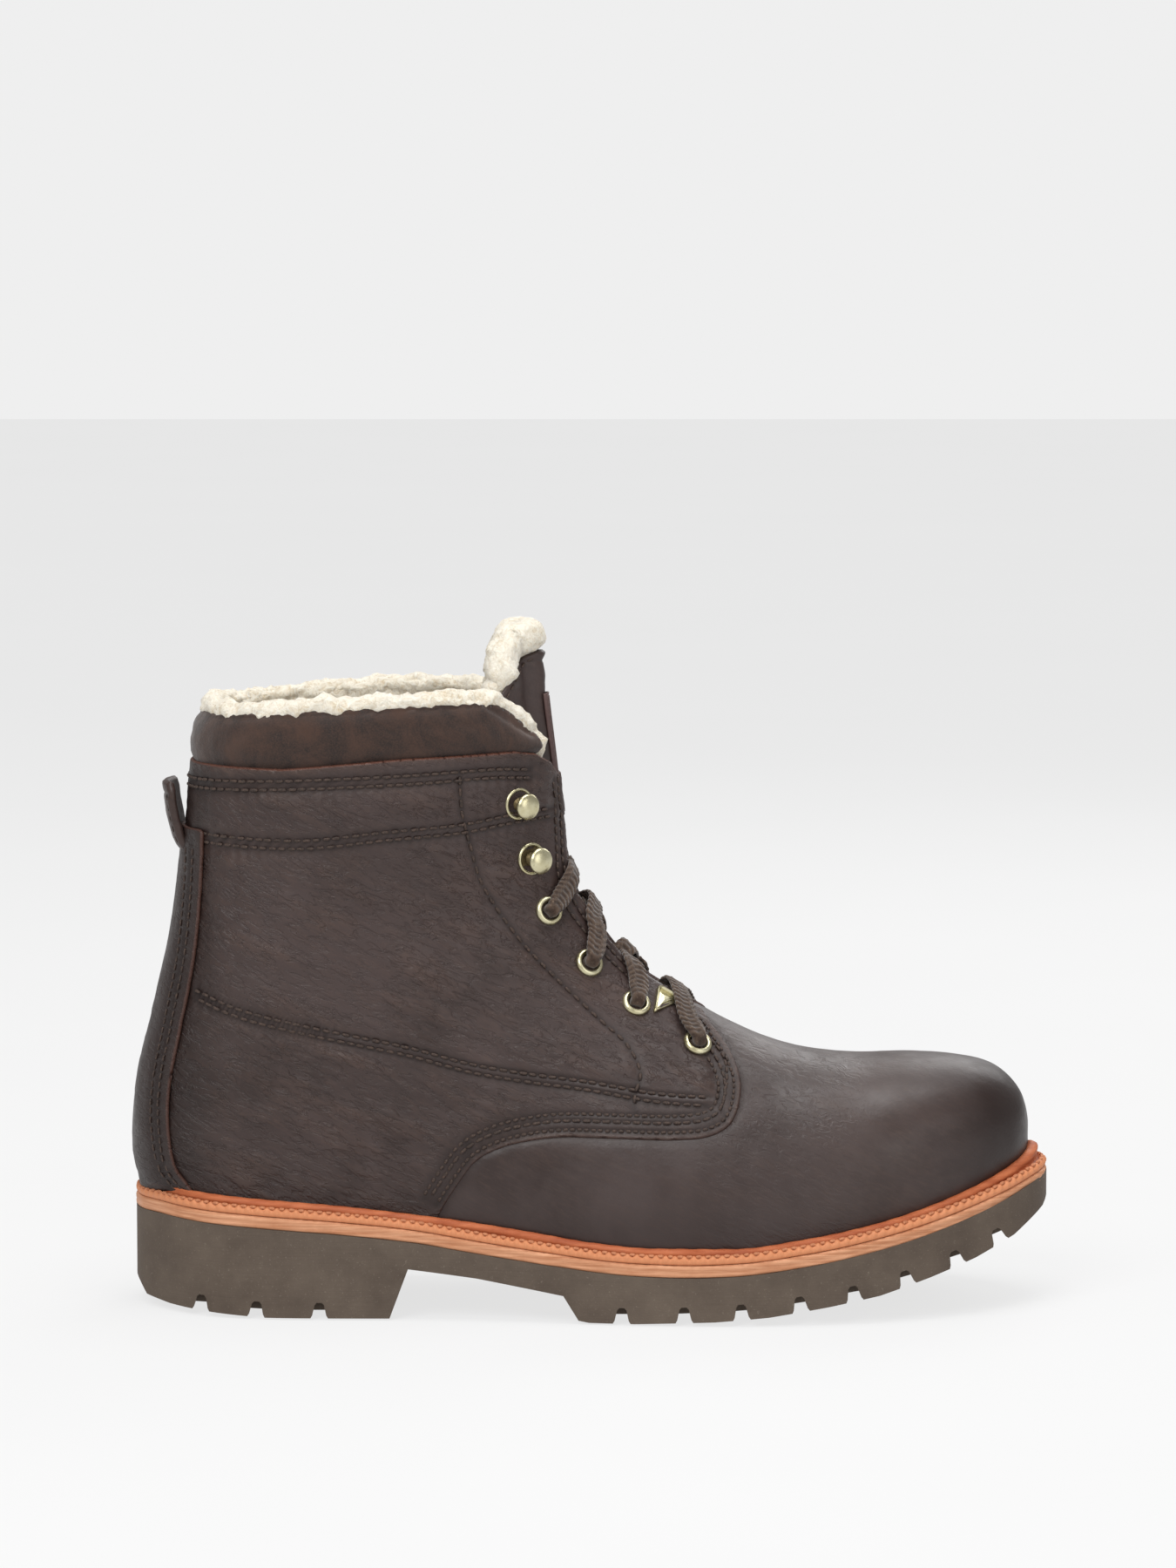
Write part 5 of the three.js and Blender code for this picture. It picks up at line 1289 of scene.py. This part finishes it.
# lining of the shaft, seen from above: an inner skin of fleece with its own pile
tuft = fbm(G, 0.22, 4, 41.0)
LT = [(-175, 199.0), (-116, 199.4), (-93, 200.8), (-66, 202.4), (-47, 203), (-32, 202), (-24, 198), (-19, 191), (-18, 173), (-50, 168), (-52, 160), (-44, 120), (-28, 96), (-10, 80), (7.8, 71.5), (-4, 56), (-16, 20), (-175, 20)]
thin = sm((GX + 60) / 8) * sm((GZ - 160) / 8)
sLT = poly_sdf(GX, GZ, LT)
fl = np.maximum(sLT, -(THR + 1.0))
fl = np.where(UU < 9.0, 5.0, fl)
shell("shaft_fleece", fl, -4.6 + 0.0 * tuft, -8.2 + 0.9 * tuft + 1.1 * thin, MAT["fleece"], 1.4, ROOT, None, ("shaft_lining",), weld_back=True, rows=4)
fv2 = np.maximum(poly_sdf(GX, GZ, [(-14, 18), (-2.5, 55), (9, 70.5), (24, 80), (44, 90), (175, 112), (175, 0), (-10, 0)]), np.where(UU < 1.2, 5.0, -5.0))
shell("vamp_fleece", fv2, np.full_like(GX, -4.7), -8.0 + 0.7 * tuft, MAT["fleece"], 1.0, ROOT, None, ("vamp_lining",))


def footbed():
    xs = np.concatenate([np.linspace(-137.6, -136, 4), np.linspace(-135, 124, 120), np.linspace(124.6, 126.8, 4)])
    V = []; F = []; M = 22
    top = []
    for x in xs:
        yl = -abs(float(fe(x, 1))); ym = abs(float(fe(x, 2)))
        inx = 12.4
        # inset more near the ends
        k = 1 - max(0.0, (-(x + 118) / 20)) ** 2 if x < -118 else (1 - ((x - 108) / 19) ** 2 if x > 108 else 1)
        k = math.sqrt(max(k, 0.002))
        cy = (yl + ym) / 2; hw = ((ym - yl) / 2 - inx) * k
        z = float(fe(x, 3))
        for q in range(M):
            v = -1 + 2 * q / (M - 1)
            y = cy + hw * v
            edge = 0.9 * abs(v) ** 4
            p = Vector((x * 0.2, y * 0.2, 0))
            top.append((x, y, z + 4.0 + edge * 0.6 + 0.7 * noise.fractal(p, 1.0, 2.1, 4)))
    n = len(xs)
    V = top + [(x, y, float(fe(x, 3)) - 0.4) for x, y, z in top]
    o_ = n * M
    for a in range(n - 1):
        for q in range(M - 1):
            i = a * M + q
            F.append([i, i + M, i + M + 1, i + 1])
            F.append([o_ + i, o_ + i + 1, o_ + i + M + 1, o_ + i + M])
    for a in range(n - 1):
        for q in (0, M - 1):
            i = a * M + q
            F.append([i, o_ + i, o_ + i + M, i + M] if q == 0 else [i, i + M, o_ + i + M, o_ + i])
    for a in (0, n - 1):
        for q in range(M - 1):
            i = a * M + q
            F.append([i, i + 1, o_ + i + 1, o_ + i] if a == 0 else [i, o_ + i, o_ + i + 1, i + 1])
    o = new_object("footbed_fleece", V, F, MAT["fleece"], ROOT, replaces=("footbed",))
    bm = bmesh.new(); bm.from_mesh(o.data)
    bmesh.ops.recalc_face_normals(bm, faces=bm.faces[:])
    bm.to_mesh(o.data); bm.free()
    return o


footbed()

# ------------------------------------------------------------------ tongue
def smooth01(t):
    t = max(0.0, min(1.0, t))
    return t * t * (3 - 2 * t)


STC = {}


def across(u, y, h):
    y = float(y)
    key = round(min(float(u), 21.0), 5)
    if key not in STC:
        STC[key] = [float(v) for v in station(np.array(key))]
    Xf, Zf, Xb, Zb, wL, wM, m_, nT, nB = STC[key]
    ax, az = Xb - Xf, Zb - Zf
    L_ = math.hypot(ax, az); ax /= L_; az /= L_
    w = wL if y < 0 else wM

    def dep(v):
        r = min(abs(v) / w, 0.97)
        return m_ * L_ * (1 - (1 - r ** nT) ** (1 / nT))
    k = 0.0 if y == 0 else (dep(abs(y) + .3) - dep(max(abs(y) - .3, 0))) / .6
    q = math.hypot(1, k)
    along = dep(y) - h / q
    sg = float(y > 0) - float(y < 0)
    yy = y + sg * h * k / q
    lift_ = (u - 21) * 5 if u > 21 else 0.0
    return np.array([Xf + ax * along - lift_ * .06, yy, Zf + az * along + lift_])


def tongue_pt(u, y, d):
    up = smooth01((u - 13.2) / 1.6)
    c = 7.6 - 6.2 * up
    return across(u, y, -(c + (7.6 - c) * smooth01((abs(y) - 1.5) / 7) + d))


def t_half(u):
    return 19 + 8 * smooth01((u - 9) / 4) - 4 * smooth01((u - 20) / 2)


def tongue_slab(name, u0, u1, d0, d1, mat, nodes, nu=90, nv=44, bump_out=None, bump_in=None, half=None, round_end=0.0, attrs=True):
    us = np.linspace(u0, u1, nu); V = []; rows = []
    half = half or t_half
    for side_ in (0, 1):
        for u in us:
            hw = half(u)
            if round_end:
                e = (u1 - u) / round_end
                if e < 1:
                    hw *= 0.13 + 0.87 * max(e, 0.0) ** 0.8
            for q in range(nv):
                v = -1 + 2 * q / (nv - 1)
                y = v * hw
                dd = d0 if side_ == 0 else d1
                edge = max(0.0, (abs(v) - 0.93) / 0.07); endr = max(0.0, 1 - (u1 - u) / 0.25, 1 - (u - u0) / 0.25)
                sh = min(1.0, math.hypot(edge, endr)) ** 2
                mid_ = (d0 + d1) / 2
                dd = dd + (mid_ - dd) * 0.75 * sh
                P = tongue_pt(u, y, dd)
                f_ = bump_out if side_ == 0 else bump_in
                if f_:
                    P = tongue_pt(u, y, dd + f_(u, y, P))
                V.append(P)
    F = []; n = nu * nv
    for a in range(nu - 1):
        for q in range(nv - 1):
            i = a * nv + q
            F.append([i, i + 1, i + nv + 1, i + nv]); F.append([n + i, n + i + nv, n + i + nv + 1, n + i + 1])
    for a in range(nu - 1):
        for q in (0, nv - 1):
            i = a * nv + q
            F.append([i, i + nv, n + i + nv, n + i])
    for a in (0, nu - 1):
        for q in range(nv - 1):
            i = a * nv + q
            F.append([i, i + 1, n + i + 1, n + i])
    at = dict(wear=[0.35 * smooth01((u - 17) / 3)] * 1) if False else None
    o = new_object(name, V, F, mat, "tongue", at, replaces=nodes)
    bm = bmesh.new(); bm.from_mesh(o.data)
    bmesh.ops.recalc_face_normals(bm, faces=bm.faces[:])
    bm.to_mesh(o.data); bm.free()
    return o


def leather_fold(u, y, P):
    w = 0.55 * noise.fractal(Vector((P[0] * .03, P[1] * .09, P[2] * .09)), 1.0, 2.0, 3)
    top = -1.0 * math.exp(-((u - 22.0) / 0.35) ** 2)
    st_ = 0.35 * math.exp(-((abs(y) - t_half(u) + 3.0) / 0.6) ** 2) + 0.35 * math.exp(-((u - 21.45) / 0.12) ** 2)
    return w + top + st_


tongue_slab("tongue_face", 9.0, 22.15, 0.0, 1.8, MAT["upper"], ("tongue_leather",), 150, 60, leather_fold, None, round_end=2.9)


def pile(amp, seed):
    def f_(u, y, P):
        return amp * noise.fractal(Vector((P[0] * .2 + seed, P[1] * .2, P[2] * .2)), 1.0, 2.1, 4)
    return f_


tf = tongue_slab("tongue_pile", 9.2, 23.6, 2.05, 8.3, MAT["fleece"], ("tongue_fleece",), 130, 56, None, pile(0.9, 3.0), half=lambda u: t_half(u) - 0.8, round_end=3.3)

# soft roll of fleece over the top of the tongue
tp = []; tn = []
for q in range(76):
    v = math.radians(-86 + 172 * q / 75)
    u = 19.5 + 3.7 * math.cos(v)
    y = math.sin(v) * 20.0
    P = tongue_pt(u, y, 4.4); P2 = tongue_pt(u, y, 3.4)
    tp.append(P); tn.append((P2 - P) / np.linalg.norm(P2 - P))
tp = np.array(tp); tn = np.array(tn)
lump_tube("tongue_fleece_roll", tp, tn, 5.6, 5.4, 28, 7.0, 1.2, body="tongue", taper=7)

# blank stitched label
def label_edge(u, y, P):
    ex = min(3.6 - abs(y), (u - 15.7) * 9.5, (19.4 - u) * 9.5)
    return -0.25 * math.exp(-((ex - 0.3) / 0.5) ** 2) + 0.22 * math.exp(-((ex - 1.5) / 0.35) ** 2)


tongue_slab("tongue_label_patch", 15.7, 19.4, -1.15, -0.3, MAT["label"], ("tongue_label",), 120, 30, label_edge, None, half=lambda u: 3.6)
S = []
for y in (-2.2, 2.2):
    for u in np.arange(15.95, 19.1, 0.30):
        a = tongue_pt(u, y, -0.9); b = tongue_pt(u + 0.2, y, -0.9)
        S.append((a, b, np.array([0.97, 0, 0.2])))
capsule_set("label_stitching", S, 0.24, MAT["thread"], "tongue")
def face_half(u):
    e = (22.15 - u) / 2.9
    return t_half(u) * (0.13 + 0.87 * max(e, 0.0) ** 0.8 if e < 1 else 1.0)


S = []
for sgn in (-1, 1):
    row = [(u, sgn * (face_half(u) - 3.0)) for u in np.arange(13.6, 21.75, 0.08) if face_half(u) > 3.5]
    P3 = resample(np.array([tongue_pt(u, y, -0.1) for u, y in row]), 0.5, smooth=False)
    k = 0
    while k + 5 < len(P3):
        S.append((P3[k], P3[k + 5], np.array([0.9, sgn * .3, 0.2])))
        k += 7
capsule_set("tongue_stitching", S, 0.36, MAT["thread"], "tongue")

# ------------------------------------------------------------------ pull loop
def pull_loop():
    path = [(-133.6, 150.2), (-136.2, 152.2), (-138.0, 155.0), (-139.4, 160.0), (-140.6, 166.0), (-141.2, 171.0), (-141.4, 173.8)]
    L_ = resample(np.array([(a, 0, b) for a, b in path]), 0.7)
    V = []; F = []; nv = 34; n = len(L_)
    T = np.gradient(L_, axis=0); T /= np.linalg.norm(T, axis=1, keepdims=True)
    for sd in (0, 1):
        for k, p in enumerate(L_):
            nx = np.array([-T[k, 2], 0, T[k, 0]])
            f = k / (n - 1)
            hw = 11.6 - 1.4 * smooth01((f - 0.85) / 0.15)
            for q in range(nv):
                v = -1 + 2 * q / (nv - 1); y = v * hw
                e = max(0.0, (abs(v) - 0.9) / 0.1, (f - 0.95) / 0.05)
                th = 1.45 * math.sqrt(max(0.06, 1 - min(1, e) ** 2))
                h = th if sd == 0 else -th
                w = 0.30 * noise.fractal(Vector((p[0] * .1, y * .09, p[2] * .1)), 1.0, 2.0, 3)
                gr = -0.35 * math.exp(-((abs(y) - hw + 2.6) / 0.6) ** 2) - 0.35 * math.exp(-((f - 0.84) / 0.025) ** 2) if sd == 0 else 0
                V.append(p + nx * (h + w + gr) + np.array([y * y / 44.0 * 0.75, y, 0]))
    F = []; m = n * nv
    for a in range(n - 1):
        for q in range(nv - 1):
            i = a * nv + q
            F.append([i, i + 1, i + nv + 1, i + nv]); F.append([m + i, m + i + nv, m + i + nv + 1, m + i + 1])
    for a in range(n - 1):
        for q in (0, nv - 1):
            i = a * nv + q
            F.append([i, i + nv, m + i + nv, m + i])
    for a in (0, n - 1):
        for q in range(nv - 1):
            i = a * nv + q
            F.append([i, i + 1, m + i + 1, m + i])
    o = new_object("pull_loop_tab", V, F, MAT["upper"], "pull_loop", dict(wear=[0.4] * len(V), burn=[0.2] * len(V)), replaces=("pull_loop",))
    bm = bmesh.new(); bm.from_mesh(o.data)
    bmesh.ops.recalc_face_normals(bm, faces=bm.faces[:])
    bm.to_mesh(o.data); bm.free()
    S = []
    for sgn in (-1, 1):
        for k in range(8, n - 6, 5):
            a, b = L_[k], L_[min(k + 3, n - 1)]
            y = sgn * 9.0
            nx = np.array([-T[k, 2], 0, T[k, 0]])
            add = np.array([y * y / 44.0 * 0.75, y, 0])
            S.append((a + nx * 1.3 + add, b + nx * 1.3 + add, nx))
    capsule_set("pull_loop_stitching", S, 0.36, MAT["thread"], "pull_loop")


pull_loop()

# ------------------------------------------------------------------ brass
EYE = [(34.5, 88.6), (14.8, 100.7), (-1.3, 113.9), (-14.8, 130.7)]
HOOK = [(-21.6, 149.2), (-25.4, 168.4)]


def node_frame(node, side, xz):
    """centre and outward normal of a fitting on the surface"""
    P0, n = SURF.lift(xz[0], xz[1], side)
    lo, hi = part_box(node)
    c = (np.array(lo) + np.array(hi)) / 2 / MM
    q, n2 = SURF.drop(c)
    return q, n2


def lathe(name, prof, c, n, mat, node, seg=56, axis_shift=None):
    """prof = [(r, h)] closed loop or open from axis to axis"""
    n = np.asarray(n) / np.linalg.norm(n)
    a = np.cross(n, (0, 0, 1.0)); a /= np.linalg.norm(a); b = np.cross(n, a)
    V = []; F = []; m = len(prof)
    for k, (r, h) in enumerate(prof):
        sh = np.zeros(3) if axis_shift is None else axis_shift(h)
        for q in range(seg):
            t = 2 * math.pi * q / seg
            V.append(c + n * h + (a * math.cos(t) + b * math.sin(t)) * max(r, 0.0) + sh)
    closed = abs(prof[0][0]) > 1e-6
    for k in range(m if closed else m - 1):
        k2 = (k + 1) % m
        for q in range(seg):
            q2 = (q + 1) % seg
            F.append([k * seg + q, k * seg + q2, k2 * seg + q2, k2 * seg + q])
    return V, F


def build(name, parts, mat, node, smooth_angle=40):
    V = []; F = []
    for v, f in parts:
        o_ = len(V); V += list(v); F += [[i + o_ for i in q] for q in f]
    o = new_object(name, V, F, mat, ROOT, replaces=(node,))
    bm = bmesh.new(); bm.from_mesh(o.data)
    bmesh.ops.remove_doubles(bm, verts=bm.verts[:], dist=0.000005)
    bmesh.ops.recalc_face_normals(bm, faces=bm.faces[:])
    for e in bm.edges:
        if len(e.link_faces) == 2 and e.calc_face_angle(0) > math.radians(smooth_angle):
            e.smooth = False
    bm.to_mesh(o.data); bm.free()
    return o


EYEF = {}
for side, nm in ((-1, "lateral"), (1, "medial")):
    for k, xz in enumerate(EYE):
        node = "eyelet_%s_%d" % (nm, k + 1)
        c, n = node_frame(node, side, xz)
        EYEF[(side, k)] = (c, n)
        prof = [(2.75, -3.6), (2.75, 0.9), (2.95, 1.45), (3.35, 1.85), (3.85, 1.92), (4.35, 1.70), (4.75, 1.20), (4.9, 0.62), (4.8, 0.25), (4.3, 0.15), (3.3, 0.1), (3.25, -3.3), (4.1, -3.5), (4.2, -3.8), (3.4, -4.0)]
        build(node + "_ring", [lathe(node, prof, c, n, None, node)], MAT["brass"], node, 60)
    for k, xz in enumerate(HOOK):
        node = "lace_hook_%s_%d" % (nm, k + 1)
        c, n = node_frame(node, side, xz)
        # direction over the surface, forward and down
        d = np.array([0.86, 0, -0.5]); d = d - n * (d @ n); d /= np.linalg.norm(d)
        base = [(4.15, 0.0), (4.2, 0.75), (4.5, 1.15), (4.95, 1.25), (5.35, 0.95), (5.45, 0.4), (5.2, 0.0)]
        plate = [(0, 0.12), (4.3, 0.12), (4.3, 0.45), (2.6, 0.55), (0, 0.6)]
        post = [(0, 0.2), (2.5, 0.2), (2.3, 0.9), (1.7, 1.6), (1.55, 2.6), (1.6, 3.4), (2.2, 4.0), (0, 4.05)]
        head = [(0, 3.75), (2.2, 3.75), (3.7, 3.95), (4.25, 4.25), (4.42, 4.75), (4.2, 5.35), (3.6, 5.85), (2.6, 6.25), (1.3, 6.48), (0, 6.52)]
        sh = lambda h, d=d: d * (0.9 * smooth01((h - 1.2) / 2.6))
        hd = lathe(node, head, c + d * 0.9, n, None, node)
        build(node + "_hook", [lathe(node, base, c, n, None, node), hd], MAT["brass"], node, 50)
        # post and plate take the darker brass copy: painted shade under the hook's head
        build(node + "_post", [lathe(node, plate, c, n, None, node), lathe(node, post, c, n, None, node, 32, sh)], MAT["brass_painted_shade"], node, 50)

# blank triangular badge with a raised border
T3 = np.array([(22.0, -8.3, 106.5), (32.9, -6.5, 99.8), (19.0, -22.4, 97.5)])
lo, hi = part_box("badge_plate"); lo = np.array(lo) / MM; hi = np.array(hi) / MM
B3 = np.array([SURF.lift(x, z, -1)[0] for x, z in ((21.2, 105.6), (30.2, 100.4), (19.6, 97.6))])


def badge():
    c = B3.mean(0)
    n = np.cross(B3[1] - B3[0], B3[2] - B3[0]); n /= np.linalg.norm(n)
    _, sn = SURF.drop(c)
    if n @ sn < 0:
        n = -n
    def ring(scale, h, rr):
        out = []
        C = c + (B3 - c) * scale
        for k in range(3):
            p, a, b = C[k], C[k - 1], C[(k + 1) % 3]
            ua = (a - p) / np.linalg.norm(a - p); ub = (b - p) / np.linalg.norm(b - p)
            for t in np.linspace(0, 1, 7):
                q = p + ua * rr * (1 - t) ** 2 + ub * rr * t ** 2
                out.append(q + n * h)
        return out
    rings = [(0.96, 0.2, 1.9), (1.0, 0.5, 2.0), (1.0, 1.5, 2.0), (0.95, 1.95, 1.8), (0.86, 2.0, 1.6), (0.80, 1.75, 1.4), (0.77, 1.0, 1.2), (0.42, 1.1, 0.6), (0.36, 1.45, 0.5), (0.05, 1.5, 0.05)]
    V = []; m = 21
    for sc_, h, rr in rings:
        V += ring(sc_, h, rr)
    F = []
    for k in range(len(rings) - 1):
        for q in range(m):
            q2 = (q + 1) % m
            F.append([k * m + q, k * m + q2, (k + 1) * m + q2, (k + 1) * m + q])
    F.append(list(range(m))[::-1]); F.append([(len(rings) - 1) * m + q for q in range(m)])
    build("badge_triangle", [(V, F)], MAT["brass"], "badge_plate", 55)


badge()

# ------------------------------------------------------------------ lace
def eye_u(k, side):
    return float(US[SURF.near(EYEF[(side, k)][0])[2][0]])


def hole(k, side, hs):
    c, n = EYEF[(side, k)]
    return [(c + n * h, n, 1) for h in hs]


def acr(u, y, h):
    p = across(u, y, h)
    _, n, _ = SURF.near(p)
    return (p, n, 0)


def strand(start, centre):
    s_ = -1 if start == 0 else 1
    out = hole(0, s_, [-4.9, -2.4, .6, 3.1])
    for k in range(3):
        o_ = -s_
        u0 = eye_u(k, s_); u1 = eye_u(k + 1, o_)
        U = lambda t: u0 + (u1 - u0) * t
        g = float(half_gap(U(.5)))
        ey = abs(EYEF[(s_, k)][0][1])
        out += [acr(U(.16), s_ * (ey - 6.5), 2.5), acr(U(.34), s_ * (g + 1), 2.1), acr(U(.5), s_ * .01, centre), acr(U(.66), o_ * (g - 1), -4.0), acr(U(.8), o_ * (g + 3.5), -5.0)]
        out += hole(k + 1, o_, [-4.9, -2.4, .6, 3.1])
        s_ = o_
    return out, s_


def tail(s_):
    u = eye_u(3, s_); g = float(half_gap(u + .4)); ey = abs(EYEF[(s_, 3)][0][1])
    return [acr(u + .12, s_ * (ey - 6.5), 2.4), acr(u + .28, s_ * (g + .4), 2.4), acr(u + .38, s_ * (g - 4.2), -1.3), acr(u + .48, s_ * (g + .4), -4.6), acr(u + .5, s_ * (g + 5), -5.1), acr(u + 1.1, s_ * 20, -5.2), acr(u + 2.4, s_ * 27, -5.2), acr(u + 4.2, s_ * 28.5, -5.4)]


A_, sA = strand(0, 0.9)
B_, sB = strand(1, -2.6)
ub = eye_u(0, -1) - .02
BAR = [acr(ub, y, -5.6) for y in (-14, -6, .01, 6, 14)]
ROUTE = tail(sA)[::-1] + A_[::-1] + BAR + B_ + tail(sB)


def lace():
    pts = np.array([r[0] for r in ROUTE]); nr = np.array([r[1] for r in ROUTE]); hl = np.array([r[2] for r in ROUTE], float)
    both = resample(np.hstack([pts, nr * 0.0, hl[:, None] * 0.0])[:, :3], 0.42)
    s0 = np.r_[0, np.cumsum(np.linalg.norm(np.diff(pts, axis=0), axis=1))]
    sb = np.r_[0, np.cumsum(np.linalg.norm(np.diff(both, axis=0), axis=1))]
    # arc position of each control point on the fine curve
    idx = []; k0 = 0
    for p in pts:
        k = k0 + int(np.argmin(np.linalg.norm(both[k0:k0 + 100] - p, axis=1)))
        idx.append(sb[k]); k0 = k
    N_ = np.stack([np.interp(sb, idx, nr[:, c]) for c in range(3)], 1)
    HL = np.interp(sb, idx, hl)
    T = np.gradient(both, axis=0); T /= np.linalg.norm(T, axis=1, keepdims=True)
    Bn = np.cross(T, N_)
    # keep the ribbon's side from flipping
    for k in range(1, len(Bn)):
        if Bn[k] @ Bn[k - 1] < 0:
            Bn[k] = -Bn[k]
    for _ in range(70):
        Bn[1:-1] = 0.5 * Bn[1:-1] + 0.25 * (Bn[:-2] + Bn[2:])
    Bn -= T * (Bn * T).sum(1, keepdims=True)
    Bn /= np.maximum(np.linalg.norm(Bn, axis=1, keepdims=True), 1e-6)
    Nn = np.cross(Bn, T)
    pin = np.zeros(len(both))
    for p, _, h in ROUTE:
        pass
    for (sd, k), (c, n) in EYEF.items():
        d = np.linalg.norm(both - (c + n * 0.6), axis=1)
        pin = np.maximum(pin, np.exp(-(np.maximum(d - 1.8, 0) / 2.2) ** 2))
    for _ in range(8):
        pin[1:-1] = 0.5 * pin[1:-1] + 0.25 * (pin[:-2] + pin[2:])
    W = 3.5 * (1 - pin) + 2.3 * pin
    Th = 0.85 * (1 - pin) + 1.75 * pin
    tails = np.minimum(sb, sb[-1] - sb)
    W = np.where(tails < 45, 1.6 + 1.4 * sm((tails - 20) / 25), W)
    hid = 0
    m = 26
    V = []; br = []
    for k in range(len(both)):
        for q in range(m):
            a = 2 * math.pi * q / m
            ca, sa = math.cos(a), math.sin(a)
            # rounded rectangle section
            x = math.copysign(abs(ca) ** 0.62, ca); y = math.copysign(abs(sa) ** 0.75, sa)
            w = x * W[k]
            ph1 = math.sin(sb[k] * 2.9 + abs(w) * 2.1); ph2 = math.cos(w * 3.6)
            t_ = 0.09 * ph1 * (1 if abs(sa) > 0.2 else 0.3) + 0.10 * ph2
            V.append(both[k] + Bn[k] * (w + 0.10 * math.sin(sb[k] * 3.1) * (1 if x > 0 else -1)) + Nn[k] * (y * Th[k] + t_ * (1 if sa > 0 else -1)))
            # braid is high on the raised strands: in the lace colour it paints them lighter and the grooves darker, as
            # painted light and shade
            br.append(min(1.0, max(0.0, 0.42 + 0.42 * ph1 + 0.16 * ph2)))
    F = []
    n = len(both)
    for k in range(n - 1):
        for q in range(m):
            q2 = (q + 1) % m
            F.append([k * m + q, k * m + q2, (k + 1) * m + q2, (k + 1) * m + q])
    F.append(list(range(m))[::-1]); F.append([(n - 1) * m + q for q in range(m)])
    o = new_object("lace_braid", V, F, MAT["lace"], ROOT, dict(braid=br), replaces=("lace",))
    bm = bmesh.new(); bm.from_mesh(o.data)
    bmesh.ops.recalc_face_normals(bm, faces=bm.faces[:])
    bm.to_mesh(o.data); bm.free()
    print("lace length mm", round(float(sb[-1]), 1))
    return o


lace()

# ------------------------------------------------------------------ carried-over parts and floor
KEEP = {"steel_shank": "steel", "cork_filler": "cork", "insole_board": "board", "toe_puff": "stiff", "heel_counter": "stiff"}
for node, mat in KEEP.items():
    o = bpy.data.objects.get(node)
    if o is not None:
        o.data.materials.clear()
        o.data.materials.append(MAT[mat])

floor_me = bpy.data.meshes.new("floor")
s = 6.0
floor_me.from_pydata([(-s, -s, -0.0006), (s, -s, -0.0006), (s, s, -0.0006), (-s, s, -0.0006)], [], [(0, 1, 2, 3)])
floor = bpy.data.objects.new("floor", floor_me)
scene.collection.objects.link(floor)
fm = Mat("floor_paint")
fm.done(fm.mix(fm.ramp(fm.noise(3, 3), [(0.3, 0.0), (0.7, 1.0)]), (0.150, 0.150, 0.150), (0.160, 0.160, 0.160)), 0.9, Specular_IOR_Level=0.0, Emission_Color=(1, 1, 1, 1), Emission_Strength=0.735)
floor_me.materials.append(fm.m)
